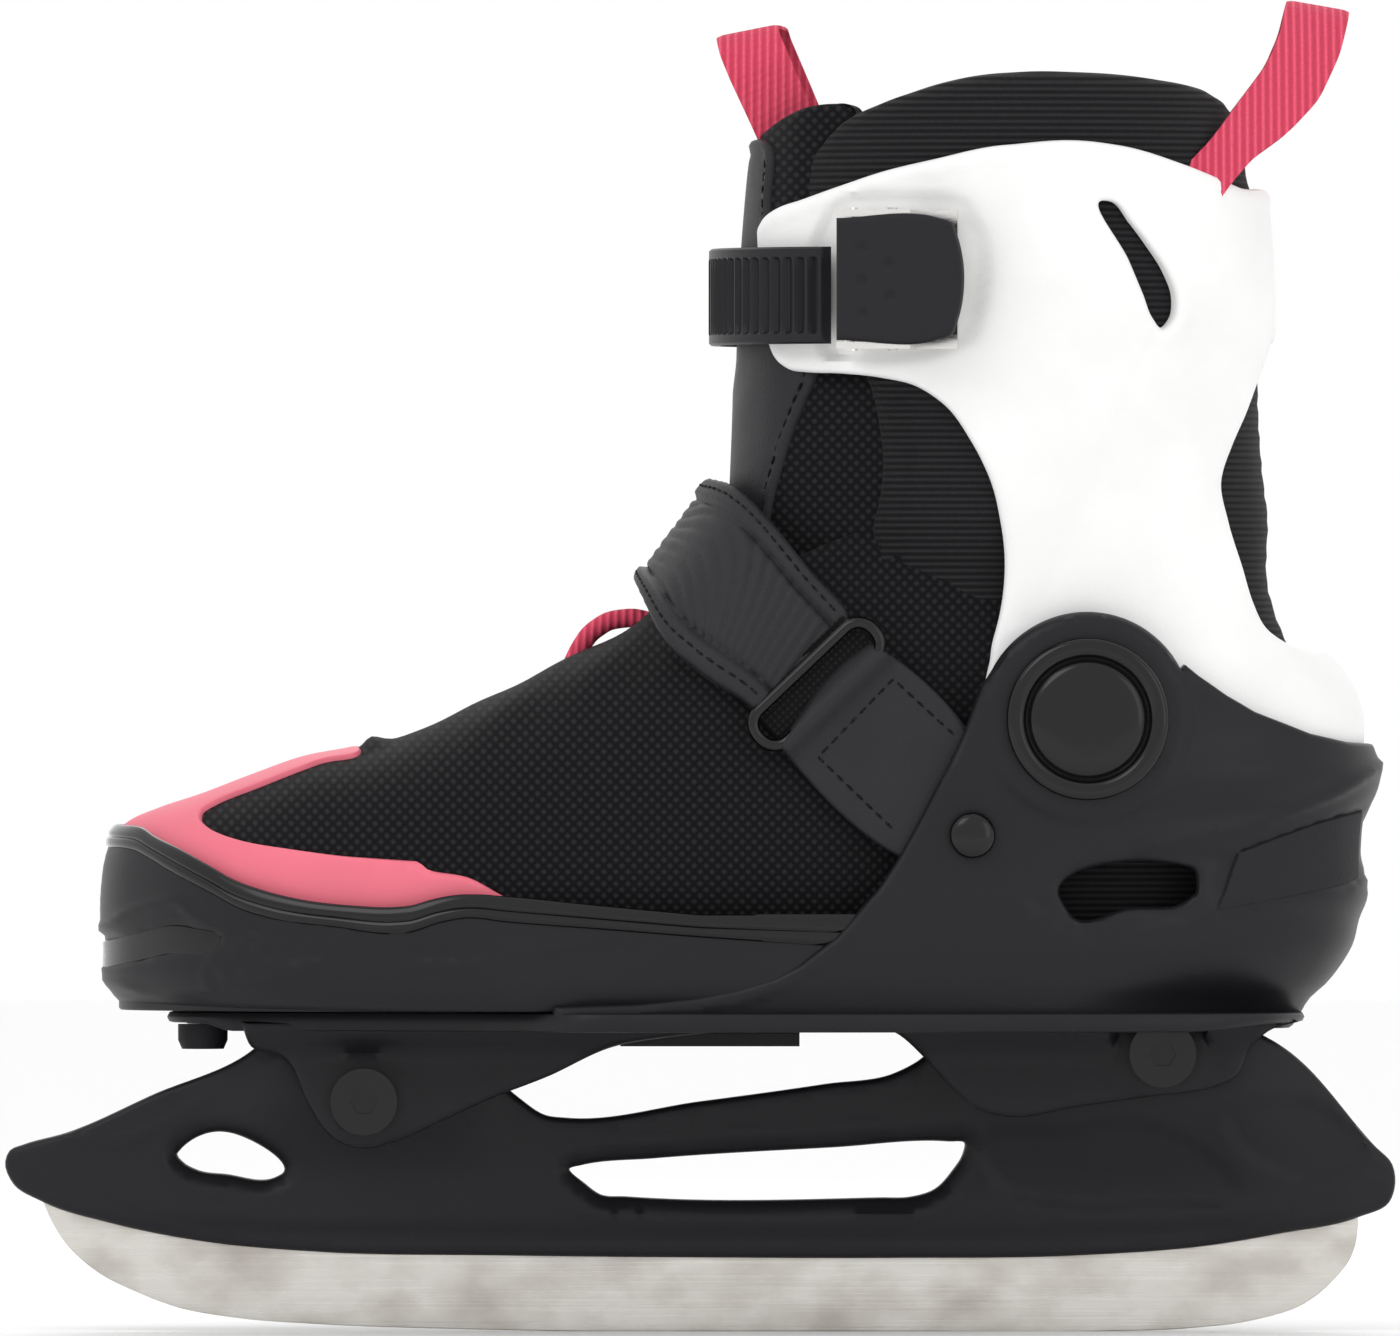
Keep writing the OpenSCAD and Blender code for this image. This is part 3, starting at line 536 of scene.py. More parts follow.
def shell_piece(name, surface, region, high, low, slot, body, mirror=False, hard=HARD_EDGE):
    """Closed piece on a surface, between two heights over a filled region.

    surface(a, b, height) gives a place in millimetres; high and low are numbers or functions of (flat, gap).
    """
    flat, faces, gap = region
    count = len(flat)
    sides = []
    for height in (high, low):
        value = height(flat, gap) if callable(height) else height
        sides.append(surface(flat[:, 0], flat[:, 1], value + np.zeros(count)))
    walls = []
    for a, b in border(faces):
        walls.append((b, a, a + count))
        walls.append((b, a + count, b + count))
    every = [tuple(f) for f in faces] + [tuple(f[::-1] + count) for f in faces] + walls
    verts = np.concatenate(sides)
    if mirror:
        other = verts * np.array([1.0, -1.0, 1.0])
        every = every + [tuple(i + len(verts) for i in reversed(f)) for f in every]
        verts = np.concatenate([verts, other])
    return finish_mesh(name, verts, every, slot, body, hard)


def grid_piece(name, upper, lower, slot, body, hard=HARD_EDGE):
    """Closed piece from two grids of places, rows by columns."""
    rows, cols = upper.shape[:2]
    count = rows * cols
    faces = []
    for r in range(rows - 1):
        for c in range(cols - 1):
            quad = (r * cols + c, r * cols + c + 1, (r + 1) * cols + c + 1, (r + 1) * cols + c)
            faces.append(quad)
            faces.append(tuple(i + count for i in reversed(quad)))
    base = (rows - 1) * cols
    for c in range(cols - 1):
        faces.append((c + 1, c, c + count, c + 1 + count))
        faces.append((base + c, base + c + 1, base + c + 1 + count, base + c + count))
    end = cols - 1
    for r in range(rows - 1):
        here, after = r * cols, (r + 1) * cols
        faces.append((here, after, after + count, here + count))
        faces.append((after + end, here + end, here + end + count, after + end + count))
    verts = np.concatenate([upper.reshape(-1, 3), lower.reshape(-1, 3)])
    return finish_mesh(name, verts, faces, slot, body, hard)


def tube(name, path, radius, slot, body, sides=12, closed=False):
    """Round wire or thread along a path of places in millimetres."""
    path = np.asarray(path, float)
    if closed:
        ahead = np.roll(path, -1, axis=0) - np.roll(path, 1, axis=0)
    else:
        ahead = np.gradient(path, axis=0)
    ahead /= np.linalg.norm(ahead, axis=1)[:, None]
    hint = np.array([0.0, 1.0, 0.0]) if abs(ahead[0][1]) < 0.9 else np.array([1.0, 0.0, 0.0])
    verts = []
    side = np.cross(ahead[0], hint)
    for spot, way in zip(path, ahead):
        side = side - way * np.dot(side, way)
        side /= max(np.linalg.norm(side), 1e-9)
        up = np.cross(way, side)
        for k in range(sides):
            turn = 2 * math.pi * k / sides
            verts.append(spot + radius * (math.cos(turn) * side + math.sin(turn) * up))
    faces = []
    rings = len(path)
    for i in range(rings if closed else rings - 1):
        j = (i + 1) % rings
        for k in range(sides):
            m = (k + 1) % sides
            faces.append((i * sides + k, i * sides + m, j * sides + m, j * sides + k))
    if not closed:
        faces.append(tuple(reversed(range(sides))))
        faces.append(tuple((rings - 1) * sides + k for k in range(sides)))
    return finish_mesh(name, verts, faces, slot, body, 70.0)


# ---------------------------------------------------------------- surfaces of the boot

PIVOT = (77.4, 123.2)
LEG_POWER = 2.4
FOOT_TOP_POWER = 2.3
FOOT_LOW_POWER = 3.6
FOOT_RADIUS = 42.0
LEG_RADIUS = 48.0
TOE_TIP = -118.0
TIP_ZONE = 30.0

FOOT_RIDGE = [(-118, 98.5), (-114.6, 101.6), (-108.8, 104.2), (-100.4, 107), (-89.4, 111.2),
              (-79.8, 114.6), (-68.8, 116.8), (-54, 122), (-36.4, 130.6), (-23.4, 136.8),
              (-9.6, 145), (0, 157), (10, 169), (28, 176), (70, 176)]
FOOT_WIDTH = [(-118, 3), (-117.2, 8), (-114.6, 15), (-110, 23), (-102, 31.5), (-90, 38.5),
              (-70, 43), (-54, 43.8), (-36, 43.2), (-20, 42.4), (-9, 41.8), (10, 40.4), (28, 39),
              (60, 37), (70, 36.8)]
FOOT_SHIFT = [(-118, 7), (-104, 5.5), (-90, 4), (-70, 2), (-54, 0.8), (-36, 0), (70, 0)]
FOOT_SOLE = 68.0


def signed_power(value, power):
    return np.sign(value) * np.abs(value) ** power


def foot_x(u):
    near = TOE_TIP + u ** 2 / (2 * TIP_ZONE)
    return np.where(u < TIP_ZONE, near, TOE_TIP + u - TIP_ZONE / 2)


def foot_u(x):
    x = np.asarray(x, float)
    near = np.sqrt(np.maximum(x - TOE_TIP, 0.0) * 2 * TIP_ZONE)
    return np.where(near < TIP_ZONE, near, x - TOE_TIP + TIP_ZONE / 2)


def foot_spot(u, v):
    x = foot_x(u)
    ridge = table(FOOT_RIDGE, x)
    middle = (ridge + FOOT_SOLE) / 2
    high = (ridge - FOOT_SOLE) / 2
    a = v / FOOT_RADIUS
    power = np.where(np.cos(a) > 0, FOOT_TOP_POWER, FOOT_LOW_POWER)
    y = table(FOOT_SHIFT, x) - table(FOOT_WIDTH, x) * signed_power(np.sin(a), 2 / power)
    return np.stack([x, y, middle + high * signed_power(np.cos(a), 2 / power)], -1)


def foot_flat(points, side=1.0):
    """Side-view places on one side of the foot, as (u, v)."""
    out = []
    for p in points:
        ridge = float(table(FOOT_RIDGE, p[0]))
        middle = (ridge + FOOT_SOLE) / 2
        high = (ridge - FOOT_SOLE) / 2
        part = max(-1.0, min(1.0, (p[1] - middle) / high))
        power = FOOT_TOP_POWER if part > 0 else FOOT_LOW_POWER
        turn = math.acos(math.copysign(abs(part) ** (power / 2), part))
        out.append((float(foot_u(p[0])), side * turn * FOOT_RADIUS, *p[2:]))
    return out


LEG_FRONT = [(100, 5), (150, 5.2), (184, 6.5), (204, 7), (222, 8), (240, 10), (256, 14)]
LEG_BACK = [(106, 129.4), (111, 131.8), (116, 133.2), (120, 133.6), (125, 133.2), (130, 131.4),
            (134, 128.6), (138, 125), (144, 122), (154, 119.2), (170, 116.4), (186, 115.2),
            (204, 115.4), (216, 115), (228, 114), (240, 112.4), (256, 108)]
LEG_HALF = [(100, 40), (141, 40), (154, 40.4), (170, 41.2), (188, 42.8), (206, 44.3), (222, 45),
            (256, 45)]


def leg_spot(u, z):
    front = table(LEG_FRONT, z)
    back = table(LEG_BACK, z)
    a = u / LEG_RADIUS
    x = (front + back) / 2 + (back - front) / 2 * signed_power(np.cos(a), 2 / LEG_POWER)
    y = -table(LEG_HALF, z) * signed_power(np.sin(a), 2 / LEG_POWER)
    return np.stack([x, y, z + 0.0 * u], -1)


def leg_flat(points, side=1.0):
    """Side-view places on one side of the leg, as (u, z)."""
    out = []
    for p in points:
        front = float(table(LEG_FRONT, p[1]))
        back = float(table(LEG_BACK, p[1]))
        part = max(-1.0, min(1.0, (p[0] - (front + back) / 2) / ((back - front) / 2)))
        turn = math.acos(math.copysign(abs(part) ** (LEG_POWER / 2), part))
        out.append((side * turn * LEG_RADIUS, p[1], *p[2:]))
    return out


def stand_off(spot, u, v, height):
    """The surface moved out along its own normal."""
    near = 0.05
    du = spot(u + near, v) - spot(u - near, v)
    dv = spot(u, v + near) - spot(u, v - near)
    way = np.cross(du, dv)
    way /= np.maximum(np.linalg.norm(way, axis=-1), 1e-12)[..., None]
    middle = np.array([60.0, 0.0, 0.0])
    base = spot(u, v)
    out = base - middle
    out[..., 2] = 0.0
    flip = np.sign(np.sum(way * out, -1))
    return base + way * (np.where(flip == 0, 1.0, flip) * height)[..., None]


def foot_off(u, v, height):
    """Foot surface moved out; its normal points away from the middle of the foot."""
    near = 0.05
    safe = np.maximum(u, 0.4)
    du = foot_spot(safe + near, v) - foot_spot(safe - near, v)
    dv = foot_spot(safe, v + near) - foot_spot(safe, v - near)
    way = np.cross(dv, du)
    way /= np.maximum(np.linalg.norm(way, axis=-1), 1e-12)[..., None]
    return foot_spot(safe, v) + way * np.asarray(height)[..., None]


def leg_off(u, z, height):
    return stand_off(leg_spot, u, z, height)


class Wall:
    """Upright wall over a plan curve; s is the length along it from its middle, plus on the outer side."""

    def __init__(self, outer, inner, profile, strength):
        left = smooth_line(outer, 0.5, closed=False)
        right = smooth_line(inner, 0.5, closed=False)
        walk_left = np.concatenate([[0], np.cumsum(np.linalg.norm(np.diff(left, axis=0), axis=1))])
        walk_right = np.concatenate([[0], np.cumsum(np.linalg.norm(np.diff(right, axis=0), axis=1))])
        self.s = np.concatenate([-walk_right[::-1], walk_left[1:]])
        self.x = np.concatenate([right[::-1, 0], left[1:, 0]])
        self.y = np.concatenate([right[::-1, 1], left[1:, 1]])
        self.profile = profile
        self.strength = strength

    def spot(self, s, z):
        x = np.interp(s, self.s, self.x)
        y = np.interp(s, self.s, self.y)
        near = 0.6
        dx = np.interp(s + near, self.s, self.x) - np.interp(s - near, self.s, self.x)
        dy = np.interp(s + near, self.s, self.y) - np.interp(s - near, self.s, self.y)
        size = np.maximum(np.hypot(dx, dy), 1e-9)
        way = np.stack([-dy / size, dx / size], -1)
        centre = np.interp(0.0, self.s, self.x)
        other = 40.0 if centre > 0 else -40.0
        flip = np.sign(way[..., 0] * (x - other) + way[..., 1] * y)
        push = table(self.profile, z) * self.strength(x)
        return np.stack([x + way[..., 0] * flip * push, y + way[..., 1] * flip * push, z + 0.0 * s], -1)

    def off(self, s, z, height):
        near = 0.3
        du = self.spot(s + near, z) - self.spot(s - near, z)
        dv = self.spot(s, z + near) - self.spot(s, z - near)
        way = np.cross(du, dv)
        way /= np.maximum(np.linalg.norm(way, axis=-1), 1e-12)[..., None]
        base = self.spot(s, z)
        out = base.copy()
        out[..., 0] -= 60.0 if np.interp(0.0, self.s, self.x) > 0 else -60.0
        out[..., 2] = 0.0
        flip = np.sign(np.sum(way * out, -1))
        return base + way * (np.where(flip == 0, 1.0, flip) * height)[..., None]

    def at_x(self, x, side=1.0):
        """Length along the wall at which it passes x."""
        mask = self.s * side >= 0
        order = np.argsort(self.x[mask])
        return np.interp(x, self.x[mask][order], self.s[mask][order])

    def flat(self, points, side=1.0):
        return [(float(self.at_x(p[0], side)), p[1], *p[2:]) for p in points]


HEEL_PLAN = [(137, 0), (136.5, -8), (134.6, -15.5), (130.8, -23), (124.6, -30), (116, -36.2),
             (104, -41.3), (90, -44.5), (77, -45.6), (60, -46.2), (44, -46.8), (28, -47.6),
             (8, -48.8), (-12, -50), (-30, -51)]
HEEL_PROFILE = [(60, -19), (62.6, -17), (66.8, -14.5), (70, -11), (73.8, -8), (78, -5.6),
                (82.8, -4.4), (88.2, -2.6), (91, -3.2), (98, -3.4), (105, -2.4), (108.5, -0.8),
                (112.4, 0), (115.5, -0.8), (118.4, -1.6), (124, -1.7), (132, -0.7), (146, 0)]


def heel_strength(x):
    return 0.3 + 0.7 * soft_step(x, 70.0, 118.0)


heel_wall = Wall(HEEL_PLAN, [(p[0], -p[1]) for p in HEEL_PLAN], HEEL_PROFILE, heel_strength)

TOE_OUTER = [(-120.6, 7), (-119.9, -1.5), (-117, -11), (-111, -20.8), (-100.5, -32), (-86, -40.4),
             (-66, -45.8), (-40, -47.6), (-20, -46.8), (-5, -46), (10, -45.2), (28, -44.2),
             (40, -43.3)]
TOE_INNER = [(-120.6, 7), (-119.9, 15.5), (-117, 25.2), (-111, 34.4), (-100.5, 42.6), (-86, 47.6),
             (-66, 49), (-40, 48), (-20, 46.8), (-5, 46), (10, 45.2), (28, 44.2), (40, 43.3)]
TOE_PROFILE = [(63.6, -11), (64.4, -7.5), (66, -4), (68.4, -1.8), (70.2, -0.7), (72, -0.1), (76, 0),
               (89, 0.1), (95, -0.7), (100.4, -2.6), (103, -4)]


def toe_strength(x):
    return 1.0 - 0.55 * soft_step(x, -90.0, -30.0)


toe_wall = Wall(TOE_OUTER, TOE_INNER, TOE_PROFILE, toe_strength)


# ---------------------------------------------------------------- shells

WELT = [(-124, 101.8), (-119, 101.4), (-114.6, 101), (-111.4, 99.4), (-105.2, 96.8), (-98.4, 93.4),
        (-93.6, 90.8), (-88, 88.8), (-79.8, 86.8), (-69.4, 85.6), (-61, 85.3), (-57.8, 85.6),
        (-53.6, 86.8), (-48.8, 87.7), (-44, 87.8), (-38.4, 87.4), (-20, 85.6), (0, 83.8),
        (30, 81.6)]
WING = [(-30, 65.6), (-12, 66.2), (0, 67.4), (8, 68.9), (15, 71.2), (20, 73.8), (27.6, 79.8),
        (32, 84.8), (36, 89.8), (40, 95.8), (45, 104.8), (50, 114.8), (53, 121), (55, 126.6),
        (57, 131.4)]
RIM = [(88.6, 141.4), (94, 136.6), (100, 131.8), (106, 127.8), (112, 124.6), (124, 120.3), (132, 118.7),
       (137.2, 118.4)]
BOSS_R = 21.4
HEEL_WALL = 2.6
TOE_WALL = 2.3
FRONT_BOLT = (-67.4, 46.4)
REAR_BOLT = (92.8, 56.0)
BUTTON = (-100.0, 0.0)
HEEL_LEDGE = [(70, 83), (87, 82), (107, 85.4), (124, 88.6), (137, 90.6)]
HEEL_RIDGE = [(88, 98), (100, 100.4), (112, 102.4), (126, 107.4), (137, 114)]
HEEL_PANEL = [(109, 96.6, 1), (118, 99.8), (128, 103), (135.6, 104.8, 1), (135.6, 91.4, 1), (120, 87.6),
              (104, 84.8, 1)]
HEEL_RECESS = [(64.2, 87.4), (74.6, 79.4), (88, 81.2), (102.6, 84), (108.6, 97), (98, 98),
               (84, 96.6), (72, 94)]
HEEL_VENT = [(72, 87.6), (74.8, 83.4), (86, 84.8), (99, 86.8), (100.4, 89), (100.2, 93.2), (97.6, 94)]


def heel_top(x):
    low = np.interp(x, [p[0] for p in WING], [p[1] for p in WING])
    high = np.interp(x, [p[0] for p in RIM], [p[1] for p in RIM])
    round_top = PIVOT[1] + np.sqrt(np.maximum(BOSS_R ** 2 - (x - PIVOT[0]) ** 2, 0.0))
    edge = np.where(x < PIVOT[0], low, high)
    near = np.abs(x - PIVOT[0]) < BOSS_R * 0.92
    return np.where(near, np.maximum(round_top, np.where(x < 57, low, 0)), edge)


def make_heel_shell():
    s_front = float(heel_wall.at_x(-29.0))
    along = np.linspace(-s_front, s_front, 420)
    edge = np.stack([along, heel_top(np.interp(along, heel_wall.s, heel_wall.x))], 1)
    low = np.array([(s, 60.6) for s in np.linspace(s_front, -s_front, 300)])
    loops = [np.concatenate([edge, low])]
    for side in (1.0, -1.0):
        loops.append(smooth_line(heel_wall.flat(HEEL_VENT, side), 0.8))
    region = fill(loops, 1.5, (0.35, 1.0))
    panel_outline = [p[:2] for p in HEEL_PANEL]

    def relief(flat, gap):
        x = np.interp(flat[:, 0], heel_wall.s, heel_wall.x)
        view = np.stack([x, flat[:, 1]], 1)
        out = -rounding(gap, 1.0)
        from_pivot = np.hypot(x - PIVOT[0], flat[:, 1] - PIVOT[1])
        out += 1.3 * (1 - soft_step(from_pivot, BOSS_R - 1.4, BOSS_R - 0.2)) * soft_step(gap, 0.0, 0.8)
        out += 0.5 * bead(line_distance(view, HEEL_LEDGE), 0.9)
        out += 0.9 * bead(line_distance(view, HEEL_RIDGE), 1.1)
        out -= 0.9 * soft_step(signed_inside(view, HEEL_RECESS), 0.0, 2.4)
        out -= 0.6 * soft_step(signed_inside(view, panel_outline), -0.6, 0.2)
        front_bead = (x < 62) & (gap > 0.9)
        out += 0.35 * front_bead * bead(gap - 1.6, 0.7)
        return out

    def raised(flat, gap):
        return 0.15 - rounding(gap, 0.5)

    shell = shell_piece("heel_shell_skin", heel_wall.off, region, relief, -HEEL_WALL, "black_plastic",
                        "heel_frame")
    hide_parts("heel_shell")
    for name, side in (("outer", 1.0), ("inner", -1.0)):
        part = fill([smooth_line(heel_wall.flat(HEEL_PANEL, side), 1.0)], 1.9, (0.3, 0.8))
        panel = shell_piece("heel_side_panel_" + name, heel_wall.off, part, raised, -1.6, "grain_plastic",
                            "heel_frame")
        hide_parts("heel_side_panels")


def make_chassis():
    """Sole plate and the four flanges that grip the towers."""
    half = [(-107, 0), (-106.6, 8), (-104, 13), (-96, 18.5), (-80, 22), (-60, 25), (-42, 33),
            (-30, 45), (-24, 48.6), (-12, 49.2), (28, 47), (60, 45), (90, 42.5), (104, 38.6),
            (114, 31), (120, 19), (121.4, 0)]
    plan = [(p[0], -p[1]) for p in half] + [(p[0], p[1]) for p in half[-2:0:-1]]
    region = fill([smooth_line(plan, 2.0), circle(*BUTTON, 5.9, 1.0)], 4.5, (0.4, 1.2))

    def top(flat, gap):
        return 64.4 - rounding(gap, 1.0)

    def bottom(flat, gap):
        nose = 1.6 * (1 - soft_step(flat[:, 0], -100.0, -94.0))
        rise = 60.6 + nose + 1.8 * soft_step(flat[:, 0], 96.0, 121.0)
        return rise + rounding(gap, 1.0)

    shell_piece("heel_shell_plate", plan_face, region, top, bottom, "black_plastic", "heel_frame")
    front = [(-92, 62.5, 1), (-90, 57.4), (-83.4, 55.2), (-79, 46.6), (-76, 41.4), (-72.4, 38.2),
             (-67.4, 37), (-61.6, 38.2), (-52, 42.4), (-42.4, 46.8), (-30.6, 51.4), (-17.4, 57.4),
             (-6, 59.4), (3, 60.4, 1), (3, 62.5, 1)]
    rear = [(22, 62.5, 1), (24, 61.6), (33, 61.6), (38, 60.8), (45.2, 55), (50, 49.6), (55.4, 45),
            (61.6, 43.4), (75.8, 45.4), (90, 47.4), (103.8, 49.6), (107.6, 51.4), (110.4, 57),
            (114, 60.6), (120, 62.5, 1)]
    for name, outline, bolt in (("front", front, FRONT_BOLT), ("rear", rear, REAR_BOLT)):
        loops = [smooth_line(outline, 1.2), circle(bolt[0], bolt[1], 4.2, 1.0)]
        part = fill(loops, 2.2, (0.4, 1.1))

        def outer(flat, gap, bolt=bolt):
            reach = np.hypot(flat[:, 0] - bolt[0], flat[:, 1] - bolt[1])
            pad = 0.7 * (1 - soft_step(reach, 8.4, 10.4))
            y = -16.9 - pad + rounding(gap, 1.1) * (reach > 5.6)
            flare = 5.0 * soft_step(flat[:, 1], 55.0, 62.0) * (reach > 10.4)
            return y - flare

        shell_piece("heel_shell_%s_flanges" % name, side_face, part, outer, -12.7, "black_plastic",
                    "heel_frame", mirror=True)


TOE_BAND = [(-90.8, 83), (-60, 81.4), (-24.6, 79.4), (-16, 79.4), (-29.4, 77.4), (-38.4, 75.6),
            (-47.2, 74), (-55.6, 74), (-64, 75.6), (-72.8, 75.6), (-78.4, 73.6), (-89.4, 70.8),
            (-100.4, 69.4), (-98, 78)]
TOE_WINDOW = [(-121, 80.4), (-115.4, 80), (-110, 81.6), (-105.2, 82.6), (-101.8, 82.2), (-95.2, 79.2),
              (-95.6, 77.8), (-107.4, 75.4), (-116, 73.4), (-121, 73)]
TOE_ARCH = [(-121, 80.9), (-118.4, 82), (-114.2, 84.6), (-110, 86), (-105.2, 86.8), (-100.4, 83.4),
            (-92.2, 80), (-86.6, 78.8)]
TOE_LIP = [(-121, 70.4), (-118.4, 70.2), (-112.8, 68.4), (-100.4, 69.4), (-89.4, 70.8),
           (-78.4, 73.6), (-72.8, 75.6), (-64, 75.6), (-55.6, 74), (-47.2, 74), (-38.4, 75.6),
           (-29.4, 77.4), (-16, 79.8)]
FACET_SIZE = 5.2


def facets(a, b):
    """Triangles of low relief in three directions."""
    one = np.abs((a + b * 0.58) / FACET_SIZE % 1 - 0.5)
    two = np.abs((a - b * 0.58) / FACET_SIZE % 1 - 0.5)
    three = np.abs(b * 1.16 / FACET_SIZE % 1 - 0.5)
    return one + two - three


def make_toe_shell():
    ends = (float(toe_wall.at_x(37.0, -1.0)), float(toe_wall.at_x(37.0, 1.0)))
    along = np.linspace(ends[0], ends[1], 380)
    x = np.interp(along, toe_wall.s, toe_wall.x)
    line = np.stack([along, np.interp(x, [p[0] for p in WELT], [p[1] for p in WELT])], 1)
    low = np.array([(s, 64.2) for s in np.linspace(ends[1], ends[0], 300)])
    region = fill([np.concatenate([line, low])], 1.25, (0.35, 0.9))

    def relief(flat, gap):
        x = np.interp(flat[:, 0], toe_wall.s, toe_wall.x)
        view = np.stack([x, flat[:, 1]], 1)
        out = -rounding(gap, 0.9)
        out += 0.5 * soft_step(signed_inside(view, TOE_BAND), 0.0, 1.0) * facets(flat[:, 0], flat[:, 1])
        out -= 0.9 * soft_step(signed_inside(view, TOE_WINDOW), 0.0, 1.2)
        out += 0.6 * bead(line_distance(view, TOE_ARCH), 0.8)
        out += 0.45 * bead(line_distance(view, TOE_LIP), 0.8)
        return out

    def sole_low(flat, gap):
        return 64.65 + rounding(gap, 0.4)

    skin = shell_piece("toe_shell_skin", toe_wall.off, region, relief, -TOE_WALL, "black_plastic", "toe_box")
    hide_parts("toe_shell")
    loop = np.stack([toe_wall.x, toe_wall.y], 1)
    loop = loop[loop[:, 0] < 25.0][::4]
    centre = np.array([-50.0, 3.0])
    inset = loop + (centre - loop) * np.array([0.05, 0.12])
    part = fill([inset], 5.0, (0.4,))
    shell_piece("toe_shell_sole", plan_face, part, 67.0, sole_low, "black_plastic", "toe_box")


# ---------------------------------------------------------------- blade and holder

HOLDER = [(-139.7, 34.2), (-138.8, 36.4), (-136.2, 37.5), (-127.8, 39.8), (-110, 47.6), (-90, 56.6),
          (-86, 60.2, 1), (-46, 60.2, 1), (-41.8, 52), (-36, 46.6), (-31, 43.4), (-27, 42.9),
          (0, 46.2), (25.2, 49.7), (39.4, 52), (45, 55.2), (49, 60.2, 1), (112, 60.2, 1), (116, 58),
          (135.6, 37.4), (139.2, 33.6), (139.8, 29.8), (138.6, 26), (132.4, 23), (116.6, 19.7),
          (103.8, 17.5), (75.8, 15.3), (40, 14.8), (0, 14.9), (-40, 15.3), (-76.2, 16),
          (-100.4, 18.2), (-118.4, 21.8), (-132.4, 26.2), (-138, 29.6)]
LOWER_SLOT = [(-26.2, 32.8), (-24, 33.4), (-9.2, 34.8), (26.6, 37), (50, 38.2), (53.2, 37.9),
              (52.8, 35.6), (50.8, 32.4), (47.2, 28.6), (42.6, 27.1), (36, 26.9), (-15, 27.1),
              (-20, 27.5), (-23, 29.6)]
FRONT_WINDOW = [(-105.2, 35.6), (-104.6, 36.4), (-96.6, 40.2), (-94.6, 40), (-84.2, 31.6),
                (-85.6, 30.9), (-95.4, 31.6), (-101, 32.4), (-104.2, 34.2)]
RELIEF_LOW = [(56, 38.8), (71.8, 41), (90.4, 42.2), (94.8, 40.6), (107.6, 30.2), (108.4, 28), (107, 27),
              (91, 25.2), (70, 25.4), (60, 29)]
RELIEF_REAR = [(104.8, 43.8), (106.4, 44.8), (120.6, 47), (133.8, 35), (133.4, 34), (124.8, 29.8),
               (121, 30.2), (105, 42.6)]
STRUT_RIDGE = [(-127.2, 39.2), (-124, 38.2), (-89.6, 52.4), (-83.2, 55.2)]
RAIL_LINE = [(-136, 32.4), (-118, 27.6), (-100, 24.2), (-76, 22.2), (-40, 21.4), (40, 20.9), (76, 21.4),
             (104, 23.6), (118, 26), (136, 31.4)]


def holder_half(x, z):
    """Half width of the holder: wide at the two towers, slim along the rail."""
    front = soft_step(z, 30.0, 50.0) * soft_step(x, -104.0, -84.0) * (1 - soft_step(x, -52.0, -36.0))
    rear = soft_step(z, 26.0, 50.0) * soft_step(x, 44.0, 62.0) * (1 - soft_step(x, 106.0, 132.0))
    width = 6.0 + 6.4 * np.maximum(front, rear)
    rail = 1 - soft_step(z, 19.0, 24.0)
    ends = soft_step(np.abs(x), 128.0, 140.0)
    return width - 1.0 * rail - 1.4 * ends


def make_holder():
    outline = smooth_line(HOLDER, 1.3)
    slots = [smooth_line(LOWER_SLOT, 1.0), smooth_line(FRONT_WINDOW, 1.0)]
    loops = [outline] + slots + [circle(*FRONT_BOLT, 4.1, 1.0), circle(*REAR_BOLT, 4.1, 1.0)]
    region = fill(loops, 1.7, (0.4, 1.1))

    def face(flat, gap):
        x, z = flat[:, 0], flat[:, 1]
        y = holder_half(x, z) - rounding(gap, 1.1)
        for slot, wide in ((slots[0], 2.6), (slots[1], 2.4)):
            near = distance_to(flat, [loop_chain(slot)])
            y -= 1.7 * (1 - soft_step(near, 0.4, wide + 0.5))
            y += 0.35 * bead(near - wide - 1.2, 0.6)
        y -= 1.0 * soft_step(signed_inside(flat, RELIEF_LOW), 0.0, 0.9)
        y -= 0.9 * soft_step(signed_inside(flat, RELIEF_REAR), 0.0, 0.9)
        y += 0.8 * bead(line_distance(flat, STRUT_RIDGE), 0.9)
        y += 0.45 * bead(line_distance(flat, RAIL_LINE), 0.8)
        return y

    def outer(flat, gap):
        return -face(flat, gap)

    holder = shell_piece("blade_holder_body", side_face, region, outer, face, "black_plastic", "heel_frame")
    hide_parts("blade_holder")


BLADE_HALF = 1.8
BLADE = [(-132, 25.8, 1), (-131.6, 29, 1), (-100, 27), (-60, 24), (60, 24), (108, 26),
         (131.4, 29, 1), (132.4, 22, 1), (131.8, 17.4), (130.4, 14), (128, 11), (125, 8),
         (121.6, 5.6), (112, 2.4), (98, 0.6), (80, 0), (40, 0), (0, 0), (-20, 0), (-50, 0.5),
         (-76, 1.4), (-94, 2.8), (-105, 4.8), (-114.4, 8.4), (-119.4, 10.8), (-123.4, 13.6),
         (-127.8, 18), (-130.4, 22.2)]


def make_blade():
    region = fill([smooth_line(BLADE, 1.4)], 2.0, (0.2, 0.5))

    def outer(flat, gap):
        return rounding(gap, 0.3) - BLADE_HALF

    def inner(flat, gap):
        return BLADE_HALF - rounding(gap, 0.3)

    blade = shell_piece("blade_runner", side_face, region, outer, inner, "steel_runner", "heel_frame")
    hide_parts("blade")


# ---------------------------------------------------------------- cuff

